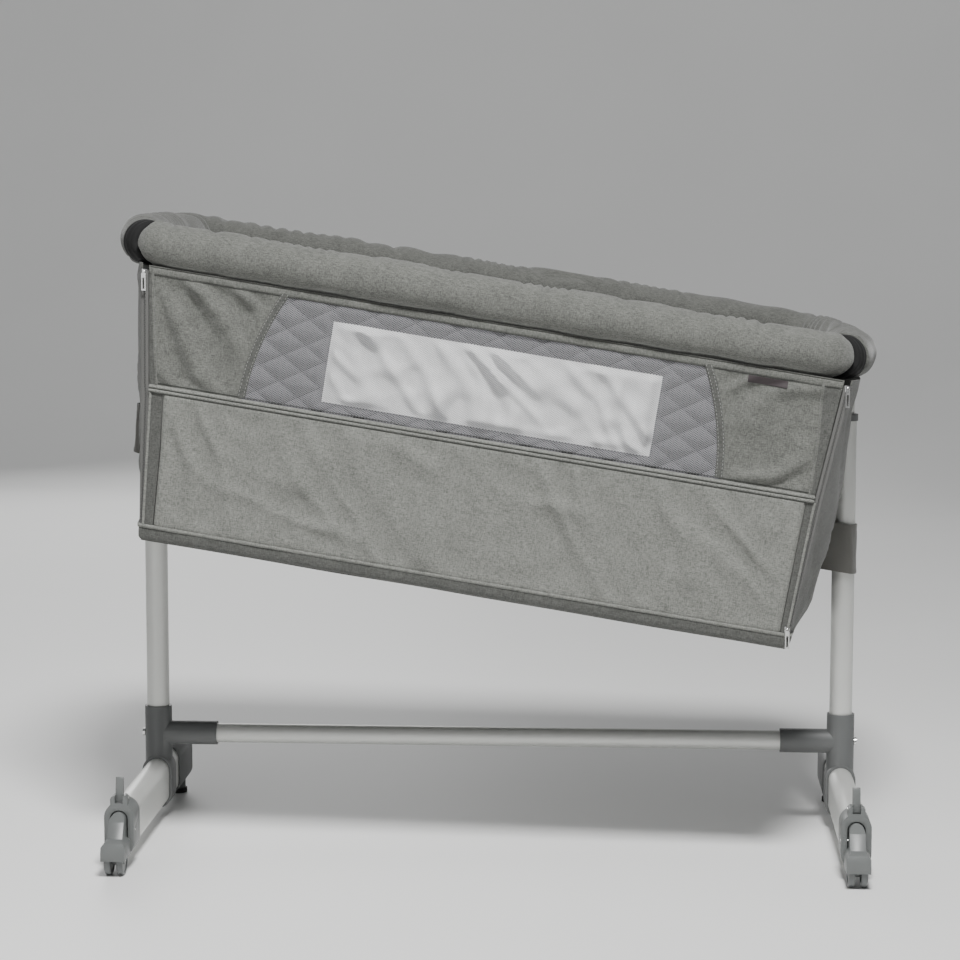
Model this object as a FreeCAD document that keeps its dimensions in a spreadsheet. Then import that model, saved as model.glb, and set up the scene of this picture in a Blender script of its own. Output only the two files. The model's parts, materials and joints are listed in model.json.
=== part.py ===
# A bedside sleeper crib: a fabric crib body on a stand with two telescopic legs.
# The body is set with its head end (-X) five height steps above its foot end (+X).
# Frame: +Z up, floor at z = 0, +X to the foot end, the drop side faces -Y, all in millimetres.
# Crib frame: u along the crib, v across it, w up from the rail's centre line; it is tilted
# about Y by the rest tilt.

import FreeCAD, Part
import math
import os
import Sketcher
from FreeCAD import Placement, Rotation, Vector

# ------------------------------------------------------------------ driving dimensions
DIMENSIONS = (
    ("legSpacing", 857.0, "between the axes of the two legs"),
    ("legDiameter", 28.0, "outer leg tube"),
    ("legTubeLength", 423.0, "outer leg tube"),
    ("legSeat", 86.0, "height of the leg tube's lower end"),
    ("tubeWall", 1.4, "wall of the leg, inner and cross tubes"),
    ("innerTubeDiameter", 22.0, "telescopic inner tube"),
    ("innerTubeLength", 400.0, "telescopic inner tube"),
    ("collarHeight", 8.0, "leg collar above the leg tube"),
    ("collarRim", 1.5, "how far the leg collar stands out round the leg"),
    ("bushLength", 36.0, "guide bush below the leg collar"),
    ("stepPitch", 28.0, "between two height steps"),
    ("tiltSteps", 5.0, "steps between the head leg and the foot leg"),
    ("stepHole", 7.0, "hole of a height step"),
    ("lockHeight", 430.0, "height of the lock buttons"),
    ("lockDiameter", 9.0, "lock button"),
    ("lockStandOut", 2.2, "lock button outside the leg tube"),
    ("lockTravel", 1.3, "press of a lock button"),
    ("barDiameter", 24.0, "cross bar"),
    ("barHeight", 108.0, "axis of the cross bar"),
    ("sleeveWall", 3.0, "wall of the connector's leg sleeve"),
    ("sleeveTop", 143.0, "top of the connector's leg sleeve"),
    ("armReach", 75.0, "connector arm, from the leg axis to its end"),
    ("saddleHalf", 17.0, "half length of the connector's saddle on the foot tube"),
    ("saddleWall", 3.5, "wall of the saddle"),
    ("boltDiameter", 6.0, "connector bolt"),
    ("boltHead", 9.5, "head of the connector bolt"),
    ("boltHeadHeight", 3.0, "head of the connector bolt"),
    ("footWidth", 30.0, "foot tube, across"),
    ("footHeight", 60.0, "foot tube, upright"),
    ("footWall", 1.8, "foot tube"),
    ("footLift", 17.0, "foot tube's underside above the floor"),
    ("footFront", 262.0, "foot tube's front end from the leg axis"),
    ("footRear", 150.0, "foot tube's rear end from the leg axis"),
    ("capWall", 2.5, "rear cap and front collar round the foot tube"),
    ("capLength", 95.0, "rear cap along the foot tube"),
    ("padInset", 13.0, "rubber pad's middle from the foot tube's rear end"),
    ("capBoss", 21.0, "round boss that holds the rubber pad"),
    ("padHeight", 6.0, "rubber pad"),
    ("padDiameter", 25.0, "rubber pad"),
    ("collarGrip", 27.0, "front collar's grip along the foot tube"),
    ("collarNose", 13.0, "front collar beyond the foot tube"),
    ("mouthWidth", 21.0, "front collar's mouth"),
    ("mouthHeight", 47.0, "front collar's mouth"),
    ("bossHeight", 8.0, "lever boss above the front collar"),
    ("bossWidth", 20.0, "lever boss"),
    ("bossLength", 17.0, "lever boss"),
    ("bossChamfer", 3.0, "lever boss"),
    ("tongueWidth", 18.0, "tongue of the wheel housing"),
    ("tongueShort", 2.0, "tongue's end before the foot tube"),
    ("tongueKnee", 17.0, "where the tongue's top turns down, from the collar"),
    ("tongueFall", 9.0, "fall of the tongue's top to its knee"),
    ("tongueReach", 28.0, "tongue's end on the hood, from the collar"),
    ("housingWidth", 28.0, "wheel housing"),
    ("housingLength", 43.0, "wheel housing"),
    ("housingHeight", 23.0, "wheel housing"),
    ("housingLift", 20.0, "wheel housing above the floor"),
    ("hoodSlope", 9.0, "sloping top edge of the hood, along"),
    ("hoodFallRear", 6.0, "sloping top edge of the hood, upright, behind"),
    ("hoodFallFront", 13.0, "sloping top edge of the hood, upright, in front"),
    ("shoulderAcross", 5.0, "sloping shoulders of the hood, across"),
    ("shoulderFall", 7.0, "sloping shoulders of the hood, upright"),
    ("webHalf", 9.0, "half length of the hood's middle web"),
    ("webRound", 5.5, "middle web below the wheel axle"),
    ("wheelDiameter", 36.0, "wheel"),
    ("wheelThickness", 7.4, "wheel"),
    ("wheelGap", 7.2, "between the two wheels of a caster"),
    ("wheelRoom", 1.5, "room round a wheel in its housing"),
    ("hubWall", 3.0, "wheel hub round its bore"),
    ("wheelDish", 1.2, "depth of the wheel's dished web"),
    ("treadDepth", 3.5, "wheel tread"),
    ("treadRound", 1.0, "edge of the wheel tread"),
    ("axleOutside", 0.5, "pin ends outside what they pass through"),
    ("axleDiameter", 4.5, "wheel axle"),
    ("leverWidth", 9.0, "brake lever"),
    ("leverHeight", 25.0, "brake lever above its pin"),
    ("leverThickness", 5.0, "brake lever"),
    ("leverLean", 3.0, "how far the brake lever leans back at its top"),
    ("leverFlare", 1.0, "brake lever, wider above its boss"),
    ("pinDiameter", 3.0, "pins of the lever and the tongue"),
    ("railHalfLength", 437.0, "rail centre line, half length"),
    ("railHalfDepth", 214.0, "rail centre line, half depth"),
    ("railCorner", 60.0, "rail centre line, corner radius"),
    ("railEndRadius", 700.0, "rail centre line, bow of its two ends"),
    ("railTube", 19.0, "steel tube in the rail"),
    ("railTubeWall", 1.2, "steel tube in the rail"),
    ("railPad", 56.0, "padded rail, overall diameter"),
    ("railHeight", 665.0, "height of the rail's centre at the middle of the crib"),
    ("splitAngle", 42.0, "where the front rail ends, round the corner, degrees"),
    ("jointAngle", 22.0, "corner joint, round the corner, degrees"),
    ("rearSplit", 45.0, "where the rear sleeves meet, round the corner, degrees"),
    ("partTurn", 0.4, "gap between pieces of the rail, round the corner, degrees"),
    ("jointDiameter", 53.0, "corner joint"),
    ("headBarrel", 27.0, "post head round the rail tube"),
    ("headLength", 28.0, "post head along the rail tube"),
    ("cradleLength", 44.0, "sliding seat of the foot-end post head"),
    ("cradleThickness", 4.0, "sliding seat of the foot-end post head"),
    ("headShoulder", 1.0, "shoulder below the closed barrel"),
    ("neckHeight", 4.5, "neck below the sliding seat"),
    ("stemLength", 27.0, "post head's stem in the inner tube"),
    ("headRoomEnd", 1.5, "room in the rail sleeve at the ends of the post head"),
    ("headRoomSide", 9.0, "room in the rail sleeve beside the post"),
    ("headRoof", 4.5, "room in the rail sleeve above the sliding seat, up from the tube's underside"),
    ("foldDrop", 160.0, "fold line below the rail centre"),
    ("seamDrop", 325.5, "bottom seam below the rail centre"),
    ("baseDrop", 343.0, "underside of the body below the rail centre"),
    ("wallDrop", 28.6, "top of the walls below the rail centre"),
    ("wallThickness", 3.0, "padded fabric wall"),
    ("faceSetOut", 15.0, "front and rear face outside the rail's centre line"),
    ("cornerTop", 419.0, "front corner from the middle, at the top"),
    ("cornerFold", 401.0, "front corner from the middle, at the fold line"),
    ("cornerBase", 383.0, "front corner from the middle, at the base"),
    ("endTop", 434.0, "end wall from the middle, at the top"),
    ("endBase", 390.0, "end wall from the middle, at the base"),
    ("channelDepthTop", 40.0, "depth of the post channel in the end wall, at the top"),
    ("channelDepthBase", 12.0, "depth of the post channel in the end wall, at the base"),
    ("channelHalf", 21.6, "half width of the post channel"),
    ("endRound", 110.0, "how far the end wall curves back from the front corner"),
    ("hangTop", 9.0, "how far the hanging body leans to the foot end, at the top"),
    ("hangBase", 22.0, "how far the hanging body leans to the foot end, at the base"),
    ("flapThickness", 6.0, "padded lower front panel"),
    ("gussetWidth", 12.0, "dark gusset at each end of the lower front panel"),
    ("hemHeight", 7.0, "piped hem at the fold line"),
    ("hemStandOut", 1.5, "piped hem in front of the panel"),
    ("channelLip", 4.0, "slope of the post channel's lip"),
    ("drapeThickness", 2.0, "drop side fabric"),
    ("windowTop", 33.0, "mesh window's top edge below the rail centre"),
    ("windowBase", 157.0, "mesh window's lower edge below the rail centre"),
    ("windowHalfTop", 253.0, "mesh window's half length at the top"),
    ("windowHalfMiddle", 276.0, "mesh window's half length at mid height"),
    ("windowHalfBase", 285.0, "mesh window's half length at the bottom"),
    ("windowShift", 13.0, "mesh window's middle towards the foot end"),
    ("bindingWidth", 9.0, "binding round the mesh window"),
    ("meshThickness", 0.8, "mesh"),
    ("meshPitch", 15.0, "holes of the mesh"),
    ("meshHole", 12.0, "hole of the mesh, across its corners"),
    ("hingeSetOut", 14.0, "fold line's axis in front of the face"),
    ("labelLength", 46.0, "blank label tab"),
    ("labelHeight", 8.0, "blank label tab"),
    ("labelPlace", 330.0, "label tab's middle from the middle of the crib"),
    ("labelDrop", 6.0, "label tab's middle below the window's top edge"),
    ("labelThickness", 1.4, "label tab"),
    ("boardThickness", 6.0, "base board"),
    ("boardHalfLength", 372.0, "base board"),
    ("boardHalfDepth", 219.0, "base board"),
    ("mattressHeight", 52.0, "mattress at its crown"),
    ("mattressEdge", 38.0, "mattress at its edge"),
    ("mattressRound", 7.0, "mattress, rounding of its side"),
    ("mattressHalfLength", 364.0, "mattress"),
    ("mattressHalfDepth", 209.0, "mattress"),
    ("mattressCorner", 60.0, "mattress, plan corner radius"),
    ("mattressCrownInset", 40.0, "mattress, edge of the crown from its side"),
    ("linerThickness", 8.0, "quilted rear liner"),
    ("linerHalfLength", 362.0, "quilted rear liner"),
    ("linerTop", 42.0, "quilted rear liner's top edge below the rail centre"),
    ("linerBase", 262.0, "quilted rear liner's lower edge below the rail centre"),
    ("paneHalfLength", 220.0, "white panel in the rear liner"),
    ("paneTop", 85.0, "white panel's top edge below the rail centre"),
    ("paneBase", 193.0, "white panel's lower edge below the rail centre"),
    ("strapWidth", 60.0, "post strap, upright"),
    ("strapThickness", 2.0, "post strap"),
    ("strapTurn", 8.0, "depth of the strap's bow round its leg"),
    ("strapDrop", 240.0, "post strap's middle below the rail centre"),
    ("strapSlack", 8.0, "slack of the head-end strap outside its leg"),
    ("strapRoom", 3.6, "room between the strap's legs and the leg tube"),
    ("zipWidth", 9.0, "corner zip tape"),
    ("zipThickness", 2.0, "corner zip tape"),
    ("sliderHeight", 8.0, "zip slider"),
    ("sliderWidth", 7.0, "zip slider"),
    ("sliderDepth", 5.0, "zip slider"),
    ("lowerSliderGap", 2.0, "lower slider above the bottom seam"),
    ("pullerLength", 21.0, "zip puller"),
    ("pullerWidth", 5.0, "zip puller"),
    ("pullerThickness", 1.4, "zip puller"),
    ("pullerFrame", 1.3, "bars of the puller's open frame"),
    ("pullerHead", 6.0, "closed head of the puller"),
    ("fit", 0.1, "radial clearance of pieces that stay together"),
    ("running", 0.3, "clearance of pieces that move on each other"),
    ("lay", 0.4, "gap between soft pieces"),
    ("overcut", 1.0, "how far a cutting shape reaches past its piece"),
)

document = FreeCAD.newDocument("bedside_crib")
sheet = document.addObject("Spreadsheet::Sheet", "dims")
for row, (alias, value, meaning) in enumerate(DIMENSIONS, 1):
    sheet.set("A%d" % row, alias)
    sheet.set("B%d" % row, repr(value))
    sheet.set("C%d" % row, meaning)
    sheet.setAlias("B%d" % row, alias)
document.recompute()


class Size:
    """A length with its number and the sheet expression that gives it."""

    def __init__(self, number, text):
        self.number = float(number)
        self.text = text

    def join(self, other, sign, number):
        return Size(number, "(%s %s %s)" % (self.text, sign, asSize(other).text))

    def __add__(self, other):
        return self.join(other, "+", self.number + asSize(other).number)

    def __sub__(self, other):
        return self.join(other, "-", self.number - asSize(other).number)

    def __mul__(self, other):
        return self.join(other, "*", self.number * asSize(other).number)

    def __truediv__(self, other):
        return self.join(other, "/", self.number / asSize(other).number)

    def __neg__(self):
        return Size(-self.number, "(0 - %s)" % self.text)


def asSize(value):
    return value if isinstance(value, Size) else Size(value, repr(float(value)))


def cell(alias):
    return Size(sheet.get(alias), "dims." + alias)


D = {alias: cell(alias) for alias, value, meaning in DIMENSIONS}
N = {alias: size.number for alias, size in D.items()}
SIDES = (("left", -1.0), ("right", 1.0))
nodes = []


# ------------------------------------------------------------------ shared places
legX = N["legSpacing"] / 2
railSpan = 2 * N["railHalfLength"]
restTilt = math.asin(N["tiltSteps"] * N["stepPitch"] / railSpan)
faceOut = N["railHalfDepth"] + N["faceSetOut"]
wheelRadius = N["wheelDiameter"] / 2
collarTip = N["footFront"] + N["collarNose"]
housingRear = collarTip + 2 * N["running"]
housingTip = housingRear + N["housingLength"]
axleForward = housingRear + N["housingLength"] / 2
footMiddle = N["footLift"] + N["footHeight"] / 2
legY = (housingTip - N["railHalfDepth"] - N["railPad"] / 2) / 2
cribX = -legX + N["railHalfLength"] * math.cos(restTilt)
pivotZ = N["railHeight"] + N["railHalfLength"] * math.sin(restTilt)
footRailZ = N["railHeight"] - N["railHalfLength"] * math.sin(restTilt)
leverAxleZ = footMiddle + N["footHeight"] / 2 + N["capWall"] + N["bossHeight"] / 2
cradleGap = 2 * N["running"]
endCentreU = N["railHalfLength"] - N["railEndRadius"]
cornerV = N["railHalfDepth"] - N["railCorner"]
centreReach = N["railEndRadius"] - N["railCorner"]
cornerU = endCentreU + math.sqrt(centreReach ** 2 - cornerV ** 2)
cornerTurn = 90 - math.degrees(math.asin(cornerV / centreReach))
cribFrame = Placement(
    Vector(cribX, legY, N["railHeight"]), Rotation(Vector(0, 1, 0), math.degrees(restTilt))
)
TURN = Rotation(Vector(0, 0, 1), 180)
LIE_X = Rotation(Vector(0, 1, 0), 90)
LIE_Y = Rotation(Vector(1, 0, 0), -90)
CURVE_U = 0.72  # share of the end wall's curve, along the crib, at its middle point
CURVE_V = 0.42  # the same, across the crib
BINDING_RISE = 0.2  # share of the binding's width that it has above and below the mesh


def between(low, high, share):
    return low + (high - low) * share


# ------------------------------------------------------------------ construction helpers
def stand(x, y, z, rotation=Rotation()):
    return Placement(Vector(x, y + legY, z), rotation)


def inCrib(u, v, w, rotation=Rotation()):
    return cribFrame.multiply(Placement(Vector(u, v, w), rotation))


def keep(item, label, placement):
    item.Label = label
    item.Placement = placement
    nodes.append(item)
    return item


def body(name):
    return document.addObject("PartDesign::Body", name)


def sketch(owner, plane, name, offset=None):
    drawing = owner.newObject("Sketcher::SketchObject", name)
    support = [f for f in owner.Origin.OriginFeatures if f.Role == plane][0]
    drawing.AttachmentSupport = [(support, "")]
    drawing.MapMode = "FlatFace"
    if offset is not None:
        drawing.AttachmentOffset = Placement(Vector(0, 0, offset.number), Rotation())
        drawing.setExpression("AttachmentOffset.Base.z", offset.text)
    return drawing


def hold(drawing, kind, where, size):
    index = drawing.addConstraint(Sketcher.Constraint(kind, *where, size.number))
    drawing.setExpression("Constraints[%d]" % index, size.text)


def circle(drawing, across, up, diameter):
    across, up = asSize(across), asSize(up)
    centre = Vector(across.number, up.number, 0)
    index = drawing.addGeometry(Part.Circle(centre, Vector(0, 0, 1), diameter.number / 2), False)
    hold(drawing, "DistanceX", (-1, 1, index, 3), across)
    hold(drawing, "DistanceY", (-1, 1, index, 3), up)
    hold(drawing, "Diameter", (index,), diameter)


def polygon(drawing, corners):
    corners = [(asSize(a), asSize(b)) for a, b in corners]
    count = len(corners)
    first = drawing.GeometryCount
    for place in range(count):
        a, b = corners[place], corners[(place + 1) % count]
        drawing.addGeometry(
            Part.LineSegment(Vector(a[0].number, a[1].number, 0), Vector(b[0].number, b[1].number, 0)),
            False,
        )
    for place in range(count):
        following = first + (place + 1) % count
        drawing.addConstraint(Sketcher.Constraint("Coincident", first + place, 2, following, 1))
    for place, (across, up) in enumerate(corners):
        hold(drawing, "DistanceX", (-1, 1, first + place, 1), across)
        hold(drawing, "DistanceY", (-1, 1, first + place, 1), up)


def obround(drawing, width, height):
    """An upright round-ended slot about the sketch's origin."""
    first = drawing.GeometryCount
    radius = width.number / 2
    rise = (height.number - width.number) / 2
    upper = Part.Circle(Vector(0, rise, 0), Vector(0, 0, 1), radius)
    lower = Part.Circle(Vector(0, -rise, 0), Vector(0, 0, 1), radius)
    drawing.addGeometry(Part.ArcOfCircle(upper, 0, math.pi), False)
    drawing.addGeometry(Part.LineSegment(Vector(-radius, rise, 0), Vector(-radius, -rise, 0)), False)
    drawing.addGeometry(Part.ArcOfCircle(lower, math.pi, 2 * math.pi), False)
    drawing.addGeometry(Part.LineSegment(Vector(radius, -rise, 0), Vector(radius, rise, 0)), False)
    for place in range(4):
        following = first + (place + 1) % 4
        drawing.addConstraint(Sketcher.Constraint("Tangent", first + place, 2, following, 1))
    hold(drawing, "DistanceX", (-1, 1, first, 3), asSize(0))
    hold(drawing, "DistanceY", (-1, 1, first, 3), (height - width) / 2)
    hold(drawing, "DistanceX", (-1, 1, first + 2, 3), asSize(0))
    hold(drawing, "DistanceY", (-1, 1, first + 2, 3), (width - height) / 2)
    hold(drawing, "Radius", (first,), width / 2)


def feature(owner, kind, drawing, name, length, midplane=False, reverse=False):
    item = owner.newObject("PartDesign::" + kind, name)
    item.Profile = drawing
    item.Length = length.number
    item.setExpression("Length", length.text)
    item.Midplane = midplane
    item.Reversed = reverse
    owner.Tip = item
    return item


def cylinder(name, diameter, height, place=Placement()):
    item = document.addObject("Part::Cylinder", name)
    item.setExpression("Radius", (diameter / 2).text)
    item.setExpression("Height", height.text)
    item.Placement = place
    return item


def block(name, length, width, height, place=Placement()):
    item = document.addObject("Part::Box", name)
    item.setExpression("Length", length.text)
    item.setExpression("Width", width.text)
    item.setExpression("Height", height.text)
    item.Placement = place
    return item


def cut(name, base, tool):
    item = document.addObject("Part::Cut", name)
    item.Base = base
    item.Tool = tool
    return item


def common(name, base, tool):
    item = document.addObject("Part::Common", name)
    item.Base = base
    item.Tool = tool
    return item


def fuse(name, pieces):
    item = document.addObject("Part::MultiFuse", name)
    item.Shapes = pieces
    return item


def soft(label, shape, placement):
    item = document.addObject("Part::Feature", label)
    item.Shape = shape
    return keep(item, label, placement)


def tube(name, diameter, wall, length):
    owner = body(name)
    ring = sketch(owner, "XY_Plane", name + "_ring")
    circle(ring, 0, 0, diameter)
    circle(ring, 0, 0, diameter - wall * 2)
    feature(owner, "Pad", ring, name + "_pad", length)
    return owner


# ------------------------------------------------------------------ stand
def footTube(side, sign):
    name = "foot_tube_" + side
    owner = body(name)
    section = sketch(owner, "XZ_Plane", name + "_section")
    obround(section, D["footWidth"], D["footHeight"])
    feature(owner, "Pad", section, name + "_pad", D["footFront"] + D["footRear"])
    bore = sketch(owner, "XZ_Plane", name + "_bore")
    obround(bore, D["footWidth"] - D["footWall"] * 2, D["footHeight"] - D["footWall"] * 2)
    feature(owner, "Pocket", bore, name + "_hollow", D["footFront"] + D["footRear"], reverse=True)
    keep(owner, name, stand(sign * legX, N["footRear"], footMiddle))


def legTube(side, sign):
    name = "leg_tube_" + side
    whole = tube(name + "_tube", D["legDiameter"], D["tubeWall"], D["legTubeLength"])
    bolt = cylinder(
        name + "_bolt_hole", D["boltDiameter"] + D["fit"] * 2, D["legDiameter"] + D["overcut"] * 2,
        Placement(Vector(-N["legDiameter"] / 2 - N["overcut"], 0, N["barHeight"] - N["legSeat"]), LIE_X),
    )
    lock = cylinder(
        name + "_lock_hole", D["lockDiameter"] + D["fit"] * 2, D["legDiameter"] / 2 + D["overcut"],
        Placement(Vector(0, 0, N["lockHeight"] - N["legSeat"]), LIE_Y),
    )
    holes = fuse(name + "_holes", [bolt, lock])
    keep(cut(name, whole, holes), name, stand(sign * legX, 0, N["legSeat"]))


def legCollars():
    pieces = []
    for side, sign in SIDES:
        name = "leg_collar_" + side
        owner = body(name)
        rim = sketch(owner, "XY_Plane", name + "_rim")
        circle(rim, 0, 0, D["legDiameter"] + D["collarRim"] * 2)
        circle(rim, 0, 0, D["innerTubeDiameter"] + D["running"] * 2)
        feature(owner, "Pad", rim, name + "_top", D["collarHeight"])
        bush = sketch(owner, "XY_Plane", name + "_bush")
        circle(bush, 0, 0, D["legDiameter"] - D["tubeWall"] * 2 - D["fit"] * 2)
        circle(bush, 0, 0, D["innerTubeDiameter"] + D["running"] * 2)
        feature(owner, "Pad", bush, name + "_guide", D["bushLength"], reverse=True)
        owner.Placement = Placement(Vector(sign * legX, 0, 0), Rotation())
        pieces.append(owner)
    pair = document.addObject("Part::Compound", "leg_collars")
    pair.Links = pieces
    keep(pair, "leg_collars", stand(0, 0, N["legSeat"] + N["legTubeLength"]))


def crossBar():
    length = D["legSpacing"] - D["legDiameter"] - D["sleeveWall"] * 2
    whole = tube("cross_bar", D["barDiameter"], D["tubeWall"], length)
    keep(whole, "cross_bar", stand(-length.number / 2, 0, N["barHeight"], LIE_X))


def tee(side, sign):
    """Connector of leg, foot tube and cross bar; its arm runs towards the other leg."""
    name = "tee_" + side
    owner = body(name)
    saddle = sketch(owner, "XZ_Plane", name + "_saddle")
    outerWidth = D["footWidth"] + D["saddleWall"] * 2
    outerHeight = D["footHeight"] + D["saddleWall"] * 2
    obround(saddle, outerWidth, outerHeight)
    feature(owner, "Pad", saddle, name + "_saddle_pad", D["saddleHalf"] * 2, midplane=True)
    sleeveDiameter = D["legDiameter"] + D["sleeveWall"] * 2
    sleeve = sketch(owner, "XY_Plane", name + "_sleeve")
    circle(sleeve, 0, 0, sleeveDiameter)
    rise = D["sleeveTop"] - D["footLift"] - D["footHeight"] / 2
    feature(owner, "Pad", sleeve, name + "_sleeve_pad", rise)
    arm = sketch(owner, "YZ_Plane", name + "_arm")
    armUp = D["barHeight"] - D["footLift"] - D["footHeight"] / 2
    circle(arm, 0, armUp, D["barDiameter"] + D["sleeveWall"] * 2)
    feature(owner, "Pad", arm, name + "_arm_pad", D["armReach"])
    footBore = sketch(owner, "XZ_Plane", name + "_foot_bore")
    obround(footBore, D["footWidth"] + D["fit"] * 2, D["footHeight"] + D["fit"] * 2)
    through = D["saddleHalf"] * 2 + D["overcut"]
    feature(owner, "Pocket", footBore, name + "_foot_pocket", through, midplane=True)
    seat = D["legSeat"] - D["footLift"] - D["footHeight"] / 2
    legBore = sketch(owner, "XY_Plane", name + "_leg_bore", seat)
    circle(legBore, 0, 0, D["legDiameter"] + D["fit"] * 2)
    feature(owner, "Pocket", legBore, name + "_leg_pocket", rise - seat + D["overcut"], reverse=True)
    barBore = sketch(owner, "YZ_Plane", name + "_bar_bore", sleeveDiameter / 2)
    circle(barBore, 0, armUp, D["barDiameter"] + D["fit"] * 2)
    feature(owner, "Pocket", barBore, name + "_bar_pocket", D["armReach"], reverse=True)
    boltBore = sketch(owner, "YZ_Plane", name + "_bolt_bore")
    circle(boltBore, 0, armUp, D["boltDiameter"] + D["fit"] * 2)
    feature(owner, "Pocket", boltBore, name + "_bolt_pocket", sleeveDiameter + D["overcut"], midplane=True)
    turn = Rotation() if sign < 0 else TURN
    keep(owner, name, stand(sign * legX, 0, footMiddle, turn))


def teeBolts():
    """Each bolt runs from outside the connector, through the leg, into a plug in the cross bar."""
    pieces = []
    for side, sign in SIDES:
        name = "tee_bolt_" + side
        owner = body(name)
        reach = D["legDiameter"] / 2 + D["sleeveWall"]
        shank = sketch(owner, "YZ_Plane", name + "_shank")
        circle(shank, 0, 0, D["boltDiameter"])
        feature(owner, "Pad", shank, name + "_shank_pad", reach * 2)
        head = sketch(owner, "YZ_Plane", name + "_head")
        circle(head, 0, 0, D["boltHead"])
        feature(owner, "Pad", head, name + "_head_pad", D["boltHeadHeight"], reverse=True)
        plug = sketch(owner, "YZ_Plane", name + "_plug", reach * 2)
        circle(plug, 0, 0, D["barDiameter"] - D["tubeWall"] * 2 - D["fit"] * 2)
        feature(owner, "Pad", plug, name + "_plug_pad", D["armReach"] / 2)
        turn = Rotation() if sign < 0 else TURN
        owner.Placement = Placement(Vector(sign * (legX + reach.number), 0, 0), turn)
        pieces.append(owner)
    pair = document.addObject("Part::Compound", "tee_bolts")
    pair.Links = pieces
    keep(pair, "tee_bolts", stand(0, 0, N["barHeight"]))


def rearCap(side, sign):
    """Closed cap on a foot tube's rear end, with a round boss down to the rubber pad."""
    name = "rear_cap_" + side
    owner = body(name)
    axis = D["footLift"] + D["footHeight"] / 2
    shell = sketch(owner, "XZ_Plane", name + "_shell")
    obround(shell, D["footWidth"] + D["capWall"] * 2, D["footHeight"] + D["capWall"] * 2)
    feature(owner, "Pad", shell, name + "_shell_pad", D["capLength"] + D["capWall"])
    boss = sketch(owner, "XY_Plane", name + "_boss", D["padHeight"] - axis)
    circle(boss, 0, -(D["padInset"] + D["capWall"]), D["capBoss"])
    feature(owner, "Pad", boss, name + "_boss_pad", D["footLift"] + D["footHeight"] / 4 - D["padHeight"])
    bore = sketch(owner, "XZ_Plane", name + "_bore", D["capWall"])
    obround(bore, D["footWidth"] + D["fit"] * 2, D["footHeight"] + D["fit"] * 2)
    feature(owner, "Pocket", bore, name + "_bore_pocket", D["capLength"] + D["overcut"], reverse=True)
    owner.Placement = Placement(Vector(sign * legX, 0, 0), Rotation())
    return owner


def rearCaps():
    pair = document.addObject("Part::Compound", "rear_caps")
    pair.Links = [rearCap(side, sign) for side, sign in SIDES]
    keep(pair, "rear_caps", stand(0, N["footRear"] + N["capWall"], footMiddle))


def rearPads():
    pieces = []
    for side, sign in SIDES:
        pad = cylinder("rear_pad_" + side, D["padDiameter"], D["padHeight"])
        pad.Placement = Placement(Vector(sign * legX, 0, 0), Rotation())
        pieces.append(pad)
    pair = document.addObject("Part::Compound", "rear_pads")
    pair.Links = pieces
    keep(pair, "rear_pads", stand(0, N["footRear"] - N["padInset"], 0))


def frontCollar(side, sign):
    """Cap on the foot tube's front end: a mouth for the housing's tongue, a boss for the lever."""
    name = "front_collar_" + side
    owner = body(name)
    shell = sketch(owner, "XZ_Plane", name + "_shell")
    outerHeight = D["footHeight"] + D["capWall"] * 2
    obround(shell, D["footWidth"] + D["capWall"] * 2, outerHeight)
    length = D["collarGrip"] + D["collarNose"]
    feature(owner, "Pad", shell, name + "_shell_pad", length)
    boss = sketch(owner, "XZ_Plane", name + "_boss", length - D["bossLength"])
    half = D["bossWidth"] / 2
    top = outerHeight / 2 + D["bossHeight"]
    cant = D["bossChamfer"]
    polygon(boss, (
        (-half, 0), (half, 0), (half, top - cant), (half - cant, top), (cant - half, top),
        (-half, top - cant),
    ))
    feature(owner, "Pad", boss, name + "_boss_pad", D["bossLength"])
    bore = sketch(owner, "XZ_Plane", name + "_bore")
    obround(bore, D["footWidth"] + D["fit"] * 2, D["footHeight"] + D["fit"] * 2)
    feature(owner, "Pocket", bore, name + "_bore_pocket", D["collarGrip"] + D["fit"], reverse=True)
    mouth = sketch(owner, "XZ_Plane", name + "_mouth", D["collarGrip"] + D["fit"] + D["overcut"])
    obround(mouth, D["mouthWidth"], D["mouthHeight"])
    through = D["collarNose"] + D["overcut"] * 2
    feature(owner, "Pocket", mouth, name + "_mouth_pocket", through, reverse=True)
    slot = sketch(owner, "XZ_Plane", name + "_slot", length - D["bossLength"] - D["overcut"])
    slotHalf = D["leverWidth"] / 2 + D["running"]
    floor = outerHeight / 2 - D["capWall"] / 2
    clear = top + D["overcut"]
    polygon(slot, ((-slotHalf, floor), (slotHalf, floor), (slotHalf, clear), (-slotHalf, clear)))
    feature(owner, "Pocket", slot, name + "_slot_pocket", D["bossLength"] + D["overcut"] * 2, reverse=True)
    pinUp = outerHeight / 2 + D["bossHeight"] / 2
    lever = sketch(owner, "YZ_Plane", name + "_lever_pin")
    circle(lever, (length - D["bossLength"] / 2) * -1.0, pinUp, D["pinDiameter"] + D["fit"] * 2)
    feature(owner, "Pocket", lever, name + "_lever_bore", D["bossWidth"] + D["overcut"], midplane=True)
    tongue = sketch(owner, "YZ_Plane", name + "_tongue_pin")
    circle(tongue, (length - D["collarNose"] / 2) * -1.0, 0, D["pinDiameter"] + D["fit"] * 2)
    feature(owner, "Pocket", tongue, name + "_tongue_bore", D["footWidth"] * 2, midplane=True)
    keep(owner, name, stand(sign * legX, -N["footFront"] + N["collarGrip"], footMiddle))


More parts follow.
